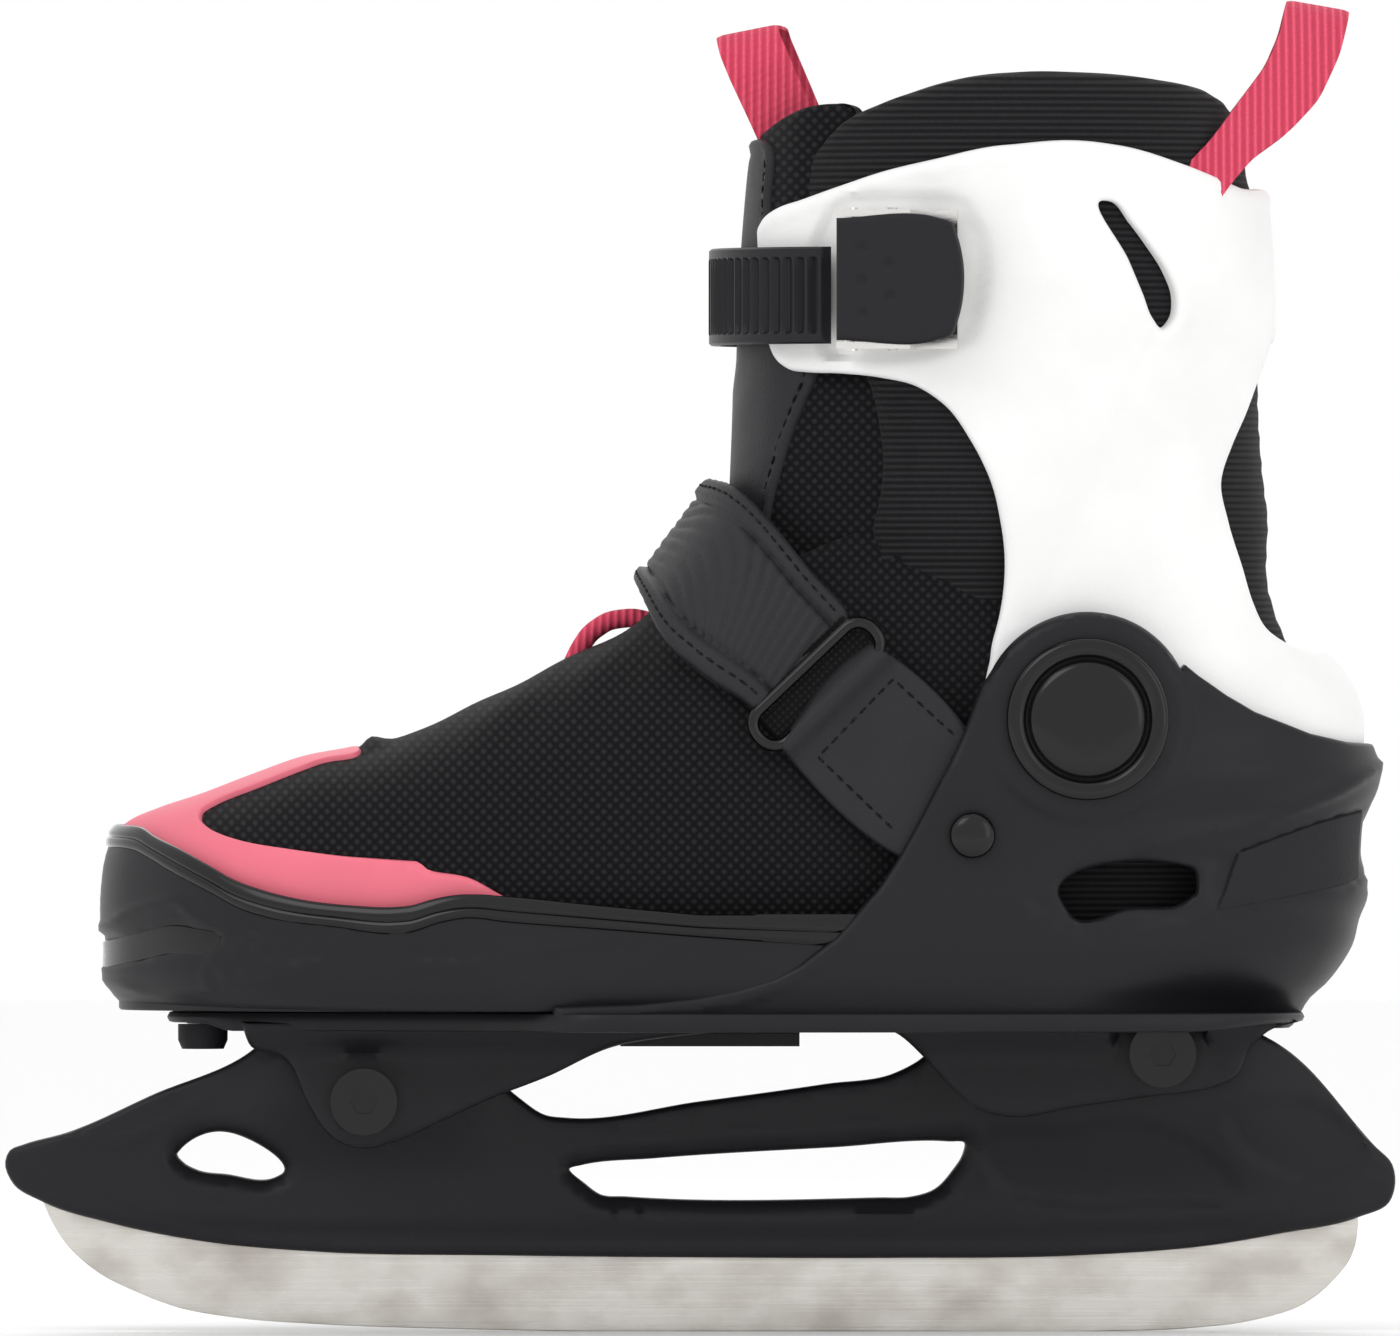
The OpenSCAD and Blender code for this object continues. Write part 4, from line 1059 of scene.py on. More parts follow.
CUFF = [(11.4, 221.4, 1), (12.6, 223.6), (14.8, 225.4), (20, 227.2), (28.2, 230), (37, 232.8),
        (47.4, 235.2), (60.2, 237.8), (72.2, 238.8), (84.2, 237.8), (97, 234.2), (104, 231.6),
        (109, 229.6)]
CUFF_WALL = 2.6
CUFF_WINDOW = [(114.3, 196.6), (112.6, 191.6), (110, 184.6), (107, 177.8), (104.9, 171.6), (104.8, 171),
               (106.2, 162.8), (109, 153.8), (111.2, 146.6), (113.6, 141.8), (117, 139.2), (120, 137.8)]
CUFF_FRONT = [(62, 109.8), (58.2, 116.6), (56.4, 124), (57, 130.8), (58, 135.8), (60, 144.8),
              (60.9, 154.8), (60, 162.8), (58, 170.8), (54, 178.8), (49, 185.6), (43, 189.6),
              (36, 191.3), (28, 192.2), (21, 192.5), (17, 193.2), (14.4, 195.6), (13, 199.8),
              (12, 210)]
VENT = [(80.8, 226.8), (82.6, 226.6), (86.4, 222.4), (90, 217.8), (93.6, 212.4), (95.4, 207.6),
        (95, 203.4), (92.8, 201.2), (90.8, 203.2), (88.8, 208), (86, 214.6)]
POCKET = [(24, 195.6), (22.8, 199), (24, 222.4), (26.4, 226.2), (44, 228.4), (53.4, 227),
          (56.6, 222), (57, 204), (54.6, 198.2), (46, 195.2), (30, 194.4)]
CREASE = [(92.4, 202), (89, 196), (86.4, 190), (79, 172), (71.6, 156), (66, 143)]


def make_cuff():
    half = [(0.0, 229.6), (12.0, 229.6)]
    half += [p for p in reversed(leg_flat(CUFF)) if p[0] > 14]
    half += reversed(leg_flat(CUFF_FRONT))
    half += [(70.0, 107.6), (50.0, 108.6), (30.0, 109.4), (0.0, 109.8)]
    window = [(0.0, 198.4), (8.0, 198.2)] + leg_flat(CUFF_WINDOW) + [(18.0, 137.2), (0.0, 136.8)]
    loops = [smooth_line(both_halves(half), 1.1), smooth_line(both_halves(window), 1.1)]
    for side in (1.0, -1.0):
        loops.append(smooth_line(leg_flat(VENT, side), 0.8))
    region = fill(loops, 1.5, (0.35, 1.0))
    crease = leg_flat(CREASE)

    def relief(flat, gap):
        out = -rounding(gap, 1.1)
        out -= 1.3 * soft_step(signed_inside(flat, leg_flat(POCKET)), 0.0, 1.6)
        for view in (flat, flat * np.array([-1.0, 1.0])):
            out -= 0.35 * bead(line_distance(view, crease), 1.2)
        out += 0.35 * bead(gap - 2.2, 0.8) * (flat[:, 1] > 192)
        out += 0.4 * soft_step(flat[:, 1], 196.0, 206.0)
        return out

    shell = shell_piece("cuff_shell", leg_off, region, relief, -CUFF_WALL, "white_cuff", "cuff")
    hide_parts("cuff")


# ---------------------------------------------------------------- toe trim

def make_toe_trim():
    """Glossy welt bead along the top of the toe shell, and the smooth inlay at the tip."""
    upper = [(x, z) for x, z in WELT if x < 27]
    lower = [(-124, 97.2), (-119, 97.4), (-114.6, 96.8), (-111.4, 95.4), (-105.4, 92.2), (-97, 88),
             (-92.2, 85.4), (-85.2, 83.2), (-72.8, 81.6), (-61.4, 80.3), (-57.8, 80.6),
             (-52.2, 82.4), (-46.8, 83.4), (-38.4, 82.6), (-20, 81.2), (0, 79.6), (27, 77.8)]
    ends = (float(toe_wall.at_x(36.0, -1.0)), float(toe_wall.at_x(36.0, 1.0)))
    along = np.linspace(ends[0], ends[1], 420)
    x = np.interp(along, toe_wall.s, toe_wall.x)
    high = table(upper, x) + 0.4
    low = table(lower, x)
    parts = np.linspace(0.0, 1.0, 15)
    s = np.tile(along, (len(parts), 1))
    z = low[None, :] + (high - low)[None, :] * parts[:, None]
    lift = 0.15 + 0.85 * np.sin(np.pi * parts) ** 0.6 - 0.5 * bead(parts - 0.42, 0.07)
    outer = toe_wall.off(s, z, np.tile(lift[:, None], (1, len(along))))
    inner = toe_wall.off(s, z, np.full(s.shape, -0.6))
    welt = grid_piece("toe_welt_bead", outer, inner, "gloss_black", "toe_box")
    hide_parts("toe_welt")
    window = [(-115.4, 79.8), (-110, 81.2), (-105.4, 82), (-101.8, 81.6), (-95.8, 79), (-96.2, 78),
              (-107.4, 75.8), (-116, 73.8)]
    tip = toe_wall.flat(window, 1.0)
    loop = tip + [(-p[0], p[1]) for p in reversed(tip)]
    region = fill([smooth_line(loop, 1.0)], 1.6, (0.3, 0.8))

    def top(flat, gap):
        return -0.35 - rounding(gap, 0.5)

    inlay = shell_piece("toe_bumper_inlay", toe_wall.off, region, top, -1.6, "gloss_black", "toe_box")
    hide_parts("toe_bumper")


# ---------------------------------------------------------------- textile upper

UPPER_THICK = 1.7
COLLAR_BAND = [(14, 152.6), (21.5, 154.6), (28, 156.8), (37, 158.4), (48, 157.4), (60, 153.6)]
COLLAR_SEAM = [(17, 150.4), (23, 152.2), (30, 154), (40, 155), (50, 153.6), (60, 150)]


def make_upper():
    side = [(-6, 149.4), (0, 150), (8, 151), (14, 153.4), (20, 156), (26, 159), (34, 161.4),
            (46, 161), (61, 157, 1), (62, 120), (61, 84, 1), (44, 79), (25, 75.6), (0, 75),
            (-40, 75), (-80, 75), (-100, 78), (-112, 84, 1)]
    half = [(float(foot_u(-5.0)), 0.0)] + foot_flat(side) + [(0.5, 78.0, 1)]
    region = fill([smooth_line(over_ridge(half), 1.6)], 2.0, (0.5, 1.4))
    bump_u = float(foot_u(-65.6))

    def high(flat, gap):
        u, v = flat[:, 0], np.abs(flat[:, 1])
        view = np.stack([u, v], 1)
        out = -rounding(gap, 1.0)
        out += 1.3 * bead(line_distance(view, foot_flat(COLLAR_BAND)), 2.4)
        out -= 0.5 * bead(line_distance(view, foot_flat(COLLAR_SEAM)), 0.7)
        out += 2.0 * bead(u - bump_u, 2.4) * (1 - soft_step(v, 6.0, 16.0))
        soft = soft_step(u, 70.0, 96.0) * (1 - soft_step(v, 44.0, 70.0))
        out += 0.35 * soft * np.sin(u * 0.31 + 0.06 * v) * np.cos(v * 0.11)
        out -= 1.1 * bead(u - 100.0, 15.0) * soft_step(v, 20.0, 40.0) * (1 - soft_step(v, 60.0, 76.0))
        return out

    upper = shell_piece("boot_upper", foot_off, region, high, -UPPER_THICK, "upper_mesh", None)
    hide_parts("upper_vamp", "upper_quarter")
    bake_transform(upper)


OVERLAY_EDGE = [(-70, 115.2), (-74.2, 114.6), (-79.8, 112.8), (-89.4, 109), (-95.6, 106.6),
                (-99, 104.8), (-99.9, 103.2), (-98.4, 101.2), (-92.2, 98.8), (-81.2, 97),
                (-66, 95.4), (-55.6, 94.2), (-45.4, 91.2), (-38.4, 87.4, 1), (-42, 83.6, 1),
                (-58, 82.2), (-70, 82.6), (-88, 85.4), (-98.4, 89.6), (-108, 94), (-113, 96.2, 1)]


def make_overlay():
    half = [(float(foot_u(-68.8)), 0.0)] + foot_flat(OVERLAY_EDGE) + [(0.5, 62.0, 1)]
    region = fill([smooth_line(over_ridge(half), 1.2)], 1.9, (0.3, 0.9))

    def high(flat, gap):
        return 1.1 - rounding(gap, 0.7)

    film = shell_piece("toe_overlay_film", foot_off, region, high, -0.4, "pink_overlay", "toe_box")
    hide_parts("toe_overlay")


# ---------------------------------------------------------------- instep strap

STRAP_LONG = 62.0
STRAP_STRAIGHT = 0.001
STRAP_WIDE = 27.0
STRAP_LOW = [(0, -8, 0), (15, -7.3, 18), (30, -4, 40), (45, 3, 54), (60, 12.2, 64)]
STRAP_HIGH = [(0, 7, 0), (15, 8.6, 12), (30, 13.5, 27.6), (45, 21, 41.3), (60, 31, 52.5)]


def strap_column(rows, column, at):
    """A column of a strap table: the smooth curve with a trace of the straight line between its rows."""
    smooth = table([(r[0], r[column]) for r in rows], at)
    straight = np.interp(at, [r[0] for r in rows], [r[column] for r in rows])
    return smooth * (1 - STRAP_STRAIGHT) + straight * STRAP_STRAIGHT


def strap_spots(t, w, height):
    """Places at t, from the ridge (0) to the lower end (1) and on the inner side below 0; w goes across."""
    ends = []
    for rows in (STRAP_LOW, STRAP_HIGH):
        at = np.abs(t) * rows[-1][0]
        ends.append((foot_u(strap_column(rows, 1, at)), strap_column(rows, 2, at)))
    u = ends[0][0] * (1 - w) + ends[1][0] * w
    v = ends[0][1] * (1 - w) + ends[1][1] * w
    return foot_off(u, v * np.sign(t + 1e-9), height)


def strap_face(along, across, height):
    return strap_spots(along / STRAP_LONG, across / STRAP_WIDE, height)


def strap_rise(t):
    """How far the padded strap stands above the foot."""
    return 2.4 + 3.4 * (1 - soft_step(np.abs(t), 0.0, 0.95))


def strap_region(ends, step):
    """Rounded strip in (length, width) millimetres."""
    a, b = ends[0] * STRAP_LONG, ends[1] * STRAP_LONG
    r = 3.6
    points = []
    corners = ((b - r, STRAP_WIDE - r, 0), (a + r, STRAP_WIDE - r, 90), (a + r, r, 180), (b - r, r, 270))
    for cx, cw, first in corners:
        for k in range(5):
            turn = math.radians(first + k * 22.5)
            points.append((cx + r * math.cos(turn), cw + r * math.sin(turn)))
    rough = []
    for i, p in enumerate(points):
        q = points[(i + 1) % len(points)]
        count = max(1, int(math.hypot(q[0] - p[0], q[1] - p[1]) / 1.0))
        for k in range(count):
            rough.append((p[0] + (q[0] - p[0]) * k / count, p[1] + (q[1] - p[1]) * k / count))
    return fill([np.array(rough)], step, (0.3, 0.8))


def stitch_row(name, places, body, slot="black_webbing", step=2.7, dash=1.9, r=0.26):
    """Thread stitches along a path of millimetre places, as one mesh of short rods."""
    path = np.asarray(places, float)
    walk = np.concatenate([[0], np.cumsum(np.linalg.norm(np.diff(path, axis=0), axis=1))])
    verts = []
    faces = []
    sides = 6
    for start in np.arange(0.4, walk[-1] - dash, step):
        at = [start, start + dash * 0.25, start + dash * 0.75, start + dash]
        spots = np.stack([np.interp(at, walk, path[:, k]) for k in range(3)], 1)
        way = spots[3] - spots[0]
        way /= np.linalg.norm(way)
        hint = np.array([0.3, 1.0, 0.2])
        across = np.cross(way, hint)
        across /= np.linalg.norm(across)
        up = np.cross(way, across)
        base = len(verts)
        for spot, thick in zip(spots, (0.35, 1.0, 1.0, 0.35)):
            for k in range(sides):
                turn = 2 * math.pi * k / sides
                verts.append(spot + r * thick * (math.cos(turn) * across + math.sin(turn) * up))
        for i in range(3):
            for k in range(sides):
                m = (k + 1) % sides
                faces.append((base + i * sides + k, base + i * sides + m,
                              base + (i + 1) * sides + m, base + (i + 1) * sides + k))
        faces.append(tuple(base + k for k in reversed(range(sides))))
        faces.append(tuple(base + 3 * sides + k for k in range(sides)))
    return finish_mesh(name, verts, faces, slot, body, 70.0)


def make_strap():
    rim = 0.17

    def cross(w):
        """1 on the panel between the two raised rims of the strap."""
        return soft_step(w, rim - 0.03, rim + 0.02) * (1 - soft_step(w, 1 - rim - 0.02, 1 - rim + 0.03))

    def pad_top(flat, gap):
        t, w = flat[:, 0] / STRAP_LONG, flat[:, 1] / STRAP_WIDE
        inner = (t < 0.05) * 1.5 * (1 - cross(w))
        return strap_rise(t) + inner - rounding(gap, 1.4)

    def pad_low(flat, gap):
        return 0.35 + rounding(gap, 0.5)

    base = strap_region((-1.0, 1.0), 1.8)
    pad = shell_piece("strap_pad", strap_face, base, pad_top, pad_low, "black_webbing", "heel_frame")
    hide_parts("strap_base")

    def flap_top(flat, gap):
        s, c = flat[:, 0], flat[:, 1] - STRAP_WIDE / 2
        t, w = s / STRAP_LONG, flat[:, 1] / STRAP_WIDE
        panel = cross(w)
        turn = 0.15 + soft_step(1 - t, 0.0, 1.0)
        phase = ((STRAP_LONG - s) * np.cos(turn) - c * np.sin(turn)) / 2.3
        ribs = 0.42 * np.abs(np.sin(np.pi * phase)) ** 0.7
        groove = sum(0.7 * bead((w - middle) * STRAP_WIDE, 0.6) for middle in (rim, 1 - rim))
        return strap_rise(t) + 1.25 + 1.2 * (1 - panel) + ribs * panel - groove - rounding(gap, 1.3)

    def flap_low(flat, gap):
        return strap_rise(flat[:, 0] / STRAP_LONG) + 0.12

    flap = strap_region((0.06, 1.0), 0.62)
    top = shell_piece("strap_flap_ribbed", strap_face, flap, flap_top, flap_low, "black_leather",
                      "strap_flap", hard=60.0)
    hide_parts("strap_flap")
    for name, w in (("low", 0.085), ("high", 0.915)):
        t = np.linspace(0.1, 0.965, 60)
        row = strap_spots(t, np.full(60, w), strap_rise(t) + 2.5)
        stitch_row("strap_flap_stitch_" + name, row, "strap_flap")
        row = strap_spots(-t, np.full(60, w), strap_rise(t) + 1.55)
        stitch_row("strap_pad_stitch_" + name, row, "heel_frame")


RING_MIDDLE = (23.3, 130.2)
RING_TURN = math.radians(43.6)
RING_LONG = 15.7
RING_SHORT = 4.2


def tilted(along, across):
    """Side-view place near the ring: along its long side, and across it towards the toe."""
    x = RING_MIDDLE[0] + along * math.cos(RING_TURN) - across * math.sin(RING_TURN)
    z = RING_MIDDLE[1] + along * math.sin(RING_TURN) + across * math.cos(RING_TURN)
    return x, z


TAB = [(34.2, 138.4), (31.6, 136.8), (17.6, 120.6), (16, 117.8), (17.4, 116), (38.4, 96.4),
       (46, 92.6, 1), (60, 92.4, 1), (61, 104, 1), (52.6, 122.2), (37.2, 136.6)]


def make_ring_and_tab():
    corner = 3.8
    path = []
    for sa, sc, first in ((1, 1, 0), (-1, 1, 90), (-1, -1, 180), (1, -1, 270)):
        for k in range(7):
            turn = math.radians(first + k * 15)
            along = sa * (RING_LONG - corner) + corner * math.cos(turn)
            across = sc * (RING_SHORT - corner) + corner * math.sin(turn)
            x, z = tilted(along, across)
            path.append((x, -44.7, z))
    ring = tube("strap_ring_wire", path, 1.25, "gloss_black", "heel_frame", 14, True)
    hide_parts("strap_ring")
    region = fill([smooth_line(TAB, 1.0)], 1.4, (0.3, 0.8))
    fold = [tilted(-13.5, -RING_SHORT - 0.2), tilted(13.5, -RING_SHORT - 0.2)]

    def outer(flat, gap):
        return -43.3 - 2.9 * bead(line_distance(flat, fold), 2.7) + rounding(gap, 0.9)

    tab = shell_piece("strap_tab", side_face, region, outer, -41.5, "black_leather", "heel_frame",
                      mirror=True)
    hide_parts("strap_tabs")
    thread = smooth_line([(51, 119.8, 1), (38.6, 131.2, 1), (23.6, 115.6, 1), (39.6, 100.2, 1)], 1.0, False)
    for name, side in (("outer", -1.0), ("inner", 1.0)):
        row = np.stack([thread[:, 0], np.full(len(thread), side * 43.35), thread[:, 1]], 1)
        stitch_row("strap_tab_stitch_" + name, row, "heel_frame")
    band = [tilted(-13.2, 6.5), tilted(-13.2, -6.0), tilted(13.2, -6.0), tilted(13.2, 6.5)]
    band = [(p[0], p[1], 1) for p in band]
    part = fill([smooth_line(band, 1.2)], 1.6, (0.3,))

    def web_top(flat, gap):
        return -43.0 + rounding(gap, 0.5)

    shell_piece("strap_webbing", side_face, part, web_top, -41.6, "black_webbing", "heel_frame", mirror=True)


# ---------------------------------------------------------------- liner and tongue

LINER_TOP = [(101.6, 251.4), (90, 252.4), (76.8, 252.7), (64, 252.6), (56, 252), (47, 250.4),
             (40, 248.6), (32, 246.2), (26.2, 243.6), (20.4, 238), (17.4, 233.6)]
LINER_FRONT = [(17.6, 226), (20.4, 214), (25.6, 200), (31.6, 190), (34, 181), (34.6, 176.8),
               (34, 166.8), (32.4, 160.8), (32.6, 150), (40, 139), (50, 131)]


def make_liner():
    half = [(0.0, 246.0), (14.0, 249.2)] + leg_flat(LINER_TOP) + leg_flat(LINER_FRONT)
    half += [(70.0, 127.0, 1), (0.0, 127.0)]
    region = fill([smooth_line(both_halves(half), 1.3)], 1.9, (0.5, 1.6, 3.2))
    front = leg_flat(LINER_FRONT)

    def top(flat, gap):
        z = flat[:, 1]
        view = np.stack([np.abs(flat[:, 0]), z], 1)
        edge = line_distance(view, front)
        out = -3.0 - 2.9 * (1 - soft_step(z, 150.0, 166.0))
        out -= 0.9 * (1 - soft_step(np.abs(flat[:, 0]), 8.0, 26.0)) * soft_step(z, 226.0, 236.0)
        out += 0.8 * bead(edge - 3.0, 1.8) * (z < 191)
        out -= 0.9 * bead(edge - 6.2, 0.7) * (z < 191)
        out += 0.5 * soft_step(z, 232.0, 242.0)
        rows = 0.12 * np.sin(2 * np.pi * z / 2.6)
        return out + rows - rounding(gap, 4.0)

    def bottom(flat, gap):
        return -11.0 + rounding(gap, 3.8)

    liner = shell_piece("liner_padded", leg_off, region, top, bottom, "liner_fabric", None)
    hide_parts("liner_upper", "liner_collar")
    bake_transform(liner)


TONGUE_EDGE = [(28, 243), (24, 228), (32, 212), (40, 196), (42, 184), (41, 160)]
PANEL_EDGE = [(13.6, 236), (13, 226), (16, 212), (21.4, 196), (21, 190.8), (19.4, 186), (17, 178.8),
              (15.4, 172.8), (14, 166.8), (13, 158), (13.4, 153)]


def tongue_height(flat):
    """Outer face: full in the middle, flat under the cuff flaps."""
    middle = math.pi * LEG_RADIUS
    away = np.abs(flat[:, 0] - middle)
    z = flat[:, 1]
    covered = soft_step(z, 188.0, 196.0)
    flaps = soft_step(away, 30.0, 42.0)
    sides = soft_step(away, 26.0, 52.0)
    return -0.9 - 2.9 * covered * flaps - 4.6 * sides * (1 - 0.4 * covered) - 0.6 * covered


def make_tongue():
    middle = math.pi * LEG_RADIUS
    half = [(middle, 241.5)] + leg_flat(TONGUE_EDGE) + [(middle, 150.0)]
    region = fill([smooth_line(both_halves(half, middle), 1.4)], 2.0, (0.5, 1.6))

    def top(flat, gap):
        return tongue_height(flat) - rounding(gap, 2.6)

    def bottom(flat, gap):
        return -9.0 + rounding(gap, 2.6)

    core = shell_piece("tongue_core", leg_off, region, top, bottom, "upper_mesh", None)
    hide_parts("tongue_lower", "tongue_upper")
    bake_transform(core)
    line = leg_flat(PANEL_EDGE)
    half = [(middle, 239.6)] + line + [(middle, 151.6)]
    part = fill([smooth_line(both_halves(half, middle), 1.2)], 1.9, (0.4, 1.2))

    def panel_top(flat, gap):
        edge = 0.5 * bead(gap - 1.0, 0.8) - 0.35 * bead(gap - 2.4, 0.6)
        return tongue_height(flat) + 0.95 + edge - rounding(gap, 0.8)

    def panel_low(flat, gap):
        return tongue_height(flat) - 0.5

    panel = shell_piece("tongue_panel", leg_off, part, panel_top, panel_low, "black_leather", None)
    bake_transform(panel)
    inset = smooth_line([(p[0] + 2.6, p[1]) for p in line], 1.0, False)
    for name, side in (("outer", 1.0), ("inner", -1.0)):
        u = middle + side * (inset[:, 0] - middle)
        row = leg_off(u, inset[:, 1], tongue_height(np.stack([u, inset[:, 1]], 1)) + 0.95)
        thread = stitch_row("tongue_stitch_" + name, row, None)
        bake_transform(thread)


# ---------------------------------------------------------------- webbing loops and laces

def relax(curve, rounds):
    """Smooths a row of places and keeps its ends."""
    for _ in range(rounds):
        curve[1:-1] = (curve[:-2] + 2 * curve[1:-1] + curve[2:]) / 4
    return curve


def ribbon(name, left, right, thick, slot, body, rows=14, cols=150):
    """Band of webbing between two edge curves in millimetres."""
    edges = []
    for points in (left, right):
        spots = np.array(points, float)
        walk = np.concatenate([[0], np.cumsum(np.linalg.norm(np.diff(spots, axis=0), axis=1))])
        at = np.linspace(0, walk[-1], cols)
        curve = np.stack([np.interp(at, walk, spots[:, k]) for k in range(3)], 1)
        edges.append(relax(curve, 10))
    w = np.linspace(0, 1, rows)[:, None, None]
    middle = edges[0][None] * (1 - w) + edges[1][None] * w
    along = np.gradient(middle, axis=1)
    across = np.gradient(middle, axis=0)
    way = np.cross(along, across)
    way /= np.linalg.norm(way, axis=-1)[..., None]
    half = thick / 2 * (0.45 + 0.55 * np.minimum(1.0, np.sin(np.pi * np.linspace(0.02, 0.98, rows)) * 3.0))
    weave = 0.06 * np.sin(np.arange(cols) * 1.9)[None, :]
    lift = (half[:, None] + weave)[..., None]
    return grid_piece(name, middle + way * lift, middle - way * lift, slot, body)


def mirrored_arch(points, shift=0.0):
    """The near leg of a loop and its mirror image on the far side, moved back by shift."""
    far = [(p[0] + shift, -p[1], p[2]) for p in reversed(points[:-1])]
    return list(points) + far


def make_loops():
    front_left = [(16.4, -8.0, 228.6), (14.8, -8.4, 232.4), (10.2, -9.2, 242.6), (6, -9.0, 251.6),
                  (4, -7.4, 256.6), (3.4, -4, 259.2), (3.4, 0, 260)]
    front_right = [(26, -7.4, 237.0), (24.4, -8.0, 240.8), (20.8, -9.2, 249.6), (17.8, -8.6, 256.6),
                   (16.2, -6.6, 260.2), (15.8, -3.6, 261.9), (15.8, 0, 262.4)]
    front = ribbon("tongue_loop_band", mirrored_arch(front_left, 2.0), mirrored_arch(front_right, 2.0), 1.3,
                   "pink_webbing", "cuff")
    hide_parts("tongue_loop")
    heel_left = [(93.4, -32.6, 229.6), (97, -31.8, 233.8), (102, -29.6, 238.8), (108, -25, 246.8),
                 (114, -19, 254.8), (116.6, -13, 261.2), (117.6, -6.5, 266), (118, 0, 267.4)]
    heel_right = [(103.2, -31.0, 226), (106.6, -29.6, 230.8), (111, -27, 235.8), (118, -22.5, 240.8),
                  (124, -17.5, 247.2), (128.4, -12, 256.4), (130.2, -6, 263.2), (130.6, 0, 265.4)]
    heel = ribbon("heel_loop_band", mirrored_arch(heel_left), mirrored_arch(heel_right), 1.4,
                  "pink_webbing", "cuff")
    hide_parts("heel_loop")
    arch = [(-25.6, 1, 134.4), (-24.4, 1, 137), (-22.2, 0.5, 140.4), (-18.4, 0, 143), (-13.4, 0, 143.6),
            (-9.4, 0, 142.6)]
    path = np.array(arch)
    step = np.linspace(0, len(arch) - 1, 40)
    path = relax(np.stack([np.interp(step, np.arange(len(arch)), path[:, k]) for k in range(3)], 1), 6)
    lace = tube("instep_lace_cord", path, 1.9, "pink_webbing", "toe_box", 12)
    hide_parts("instep_lace")


# ---------------------------------------------------------------- buckle

BUCKLE_AT = (30.0, -46.8, 211.0)
BUCKLE_TURN = math.radians(11.0)


def buckle_face(u, z, out):
    """Places in the buckle's own frame: u to the rear, z from its middle, out to the outer side."""
    x = BUCKLE_AT[0] + u * math.cos(BUCKLE_TURN) - out * math.sin(BUCKLE_TURN)
    y = BUCKLE_AT[1] - u * math.sin(BUCKLE_TURN) - out * math.cos(BUCKLE_TURN)
    return np.stack([x, y, BUCKLE_AT[2] + z], -1)


def make_lever():
    outline = [(-2, -12.2, 1), (-2, 12.2, 1), (18.4, 12.2), (21.2, 11.2), (22.3, 8.4), (22.3, -8.4),
               (21.2, -11.2), (18.4, -12.2)]
    dimples = [(3.3, 6.2), (8.8, 3.0), (3.3, -0.2), (9.0, -3.4), (3.5, -6.8)]
    region = fill([smooth_line(outline, 0.8)], 0.7, (0.25, 0.7))

    def top(flat, gap):
        lift = 5.3 - rounding(gap, 1.0) + 0.25 * np.sin(np.clip(flat[:, 0] / 22.0, 0, 1) * np.pi)
        for spot in dimples:
            reach = np.hypot(flat[:, 0] - spot[0], flat[:, 1] - spot[1])
            lift -= 0.55 * (1 - soft_step(reach, 0.5, 1.35))
        return lift

    def bottom(flat, gap):
        return 2.4 + 1.62 * soft_step(gap, 1.2, 1.8)

    lever = shell_piece("buckle_lever_plate", buckle_face, region, top, bottom, "grain_plastic",
                        "buckle_lever")
    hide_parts("buckle_lever")


def make_ladder():
    """Toothed strap that runs from under the lever round the front to its screw on the inner side."""
    mid, half, wide = 61.3, 54.3, 44.2
    tooth = 3.0

    def around(turn, grow):
        c, s = np.cos(turn), np.sin(turn)
        power = 2 / LEG_POWER
        return (mid + (half + grow) * signed_power(c, power), (wide + grow) * signed_power(s, power))

    turns = np.radians(np.linspace(236.2, 104.0, 500))
    x, y = around(turns, 4.2)
    walk = np.concatenate([[0], np.cumsum(np.hypot(np.diff(x), np.diff(y)))])
    count = int(walk[-1] / 0.38)
    turns = np.interp(np.linspace(0, walk[-1], count), walk, turns)
    walk = np.linspace(0, walk[-1], count)
    z = np.array([-9.7, -9.3, -8.6, -7.9, -7.7, -7.2, -5, -2.5, 0, 2.5, 5, 7.2, 7.7, 7.9, 8.6, 9.3, 9.7])
    rail = np.where(np.abs(z) > 7.6, 1.0, 0.0)
    saw = (walk % tooth) / tooth
    teeth = 1.1 * np.where(saw < 0.3, saw / 0.3, (1 - saw) / 0.7) * (walk < 84.0)
    ends = rounding(np.minimum(walk, walk[-1] - walk), 1.2)
    side_rails = rail[:, None] * (1.0 - 0.5 * (np.abs(z) > 9.5)[:, None])
    grow_out = 4.2 + side_rails + (1 - rail)[:, None] * teeth[None, :]
    grow_out = grow_out - ends[None, :]
    outer = []
    inner = []
    for i, level in enumerate(z):
        ox, oy = around(turns, grow_out[i])
        ix, iy = around(turns, np.full(count, 2.9))
        outer.append(np.stack([ox, oy, np.full(count, 207.9 + level)], 1))
        inner.append(np.stack([ix, iy, np.full(count, 207.9 + level)], 1))
    strap = grid_piece("ladder_strap_band", np.array(outer), np.array(inner), "black_plastic", "cuff",
                       hard=35.0)
    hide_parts("ladder_strap")


# ---------------------------------------------------------------- pivot caps

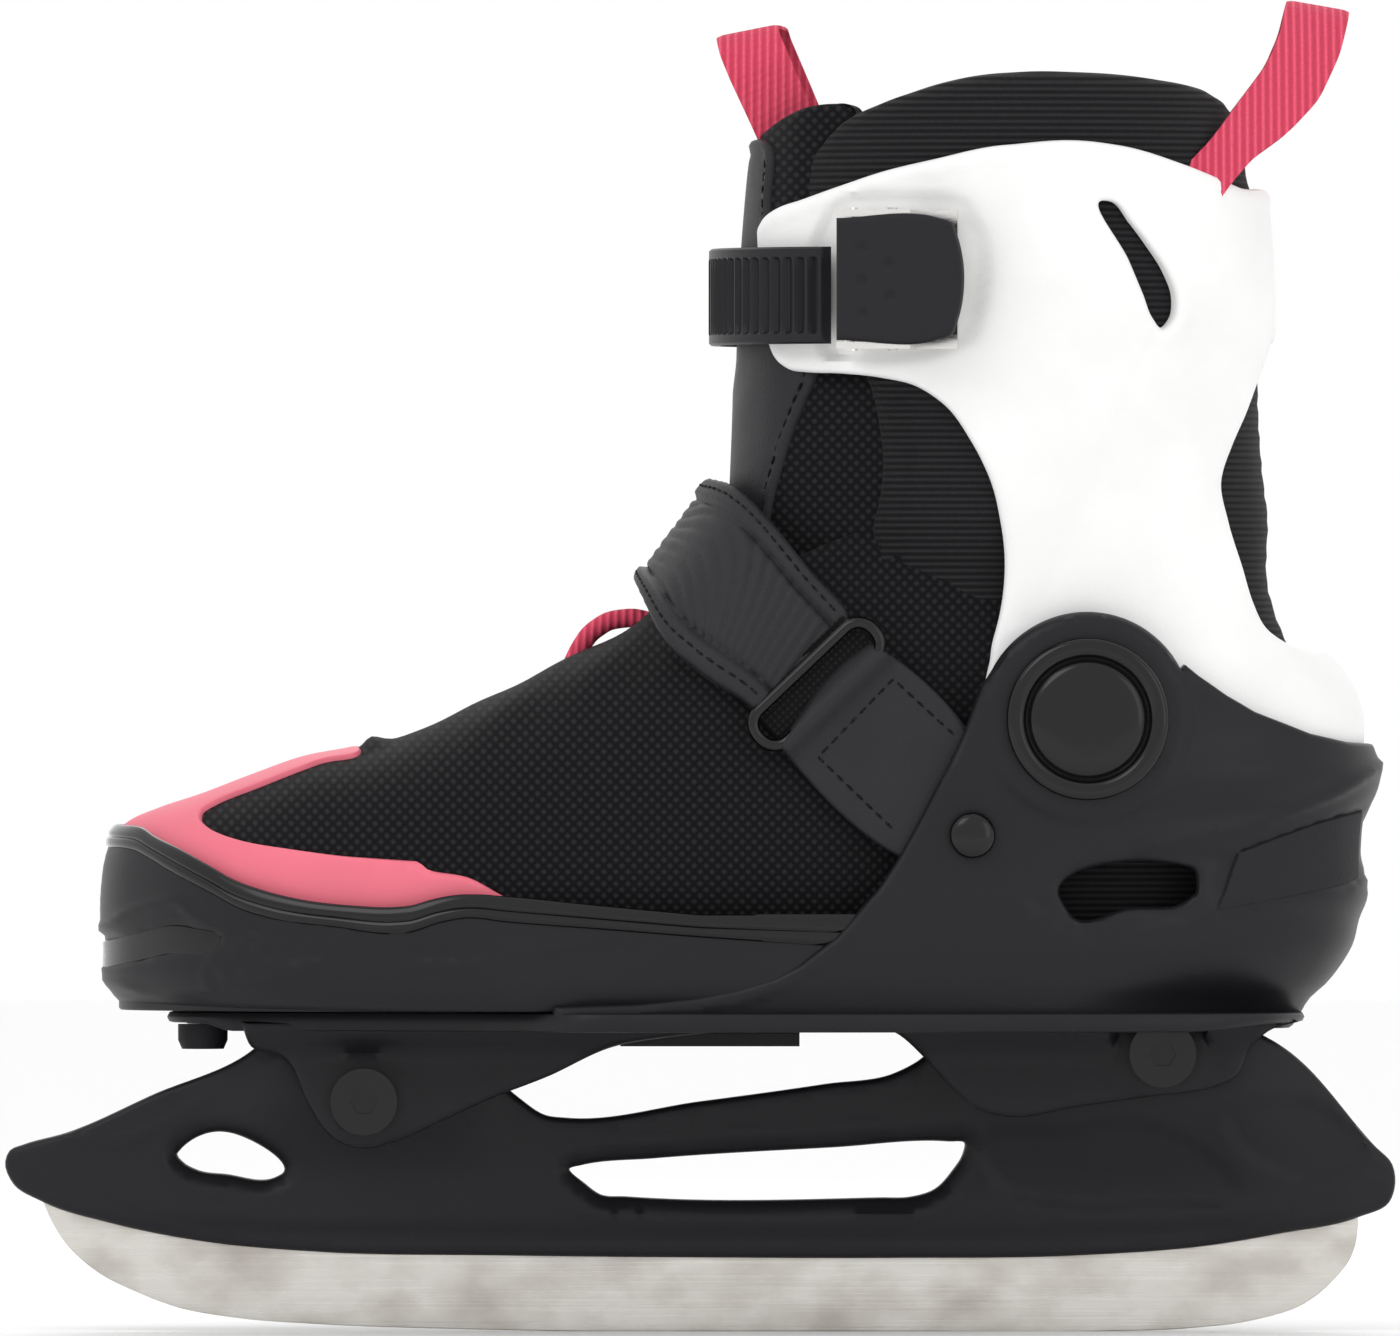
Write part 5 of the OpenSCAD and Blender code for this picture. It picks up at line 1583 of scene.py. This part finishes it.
def lathe(name, centre, profile, slot, body, sides=96):
    """A round piece on each side of the skate; a profile row is (radius, distance from the middle plane)."""
    verts = []
    faces = []
    for side in (-1.0, 1.0):
        base = len(verts)
        for r, y in profile:
            for k in range(sides):
                turn = 2 * math.pi * k / sides
                verts.append((centre[0] + r * math.cos(turn), side * y, centre[1] + r * math.sin(turn)))
        rings = len(profile)
        for i in range(rings - 1):
            for k in range(sides):
                m = (k + 1) % sides
                faces.append((base + i * sides + k, base + i * sides + m,
                              base + (i + 1) * sides + m, base + (i + 1) * sides + k))
        faces.append(tuple(base + k for k in range(sides)))
        faces.append(tuple(base + (rings - 1) * sides + k for k in reversed(range(sides))))
    return finish_mesh(name, verts, faces, slot, body, 42.0)


def make_caps():
    profile = [(16.2, 46.55), (16.2, 48.4), (15.9, 49.0), (15.2, 49.35), (13.6, 49.35),
               (12.9, 49.0), (12.5, 48.2), (12.1, 48.0), (11.6, 48.2), (11.2, 48.7), (10.2, 49.1),
               (7, 49.35), (3, 49.4), (0.4, 49.4)]
    caps = lathe("pivot_caps", PIVOT, profile, "gloss_black", "heel_frame")
    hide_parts("pivot_cap_lateral", "pivot_cap_medial")
    profile = [(2.4, 41.4), (2.4, 46.4), (4.6, 46.5), (4.6, 47.2), (4.2, 48.0), (3.2, 48.5),
               (1.6, 48.75), (0.3, 48.8)]
    rivets = lathe("strap_rivet_heads", (54.4, 100.0), profile, "gloss_black", "heel_frame", sides=48)
    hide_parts("strap_rivets")


def bevel_cad_nodes():
    for name in ("front_bolt", "rear_bolt", "front_nut", "rear_nut", "buckle_base", "buckle_rivets",
                 "lever_pin", "pawl", "pawl_pin", "ladder_screw", "size_button", "slide_rail",
                 "pivot_washers", "cuff_bushes"):
        edge = frame["nodes"][name].modifiers.new("edge", "BEVEL")
        edge.width = 0.00035
        edge.segments = 2
        edge.limit_method = "ANGLE"
        edge.angle_limit = math.radians(40.0)


def build():
    make_looks()
    make_camera()
    make_studio()
    dress_cad_nodes()
    bevel_cad_nodes()
    make_blade()
    make_holder()
    make_heel_shell()
    make_chassis()
    make_toe_shell()
    make_toe_trim()
    make_upper()
    make_overlay()
    make_strap()
    make_ring_and_tab()
    make_liner()
    make_tongue()
    make_loops()
    make_cuff()
    make_lever()
    make_ladder()
    make_caps()


build()
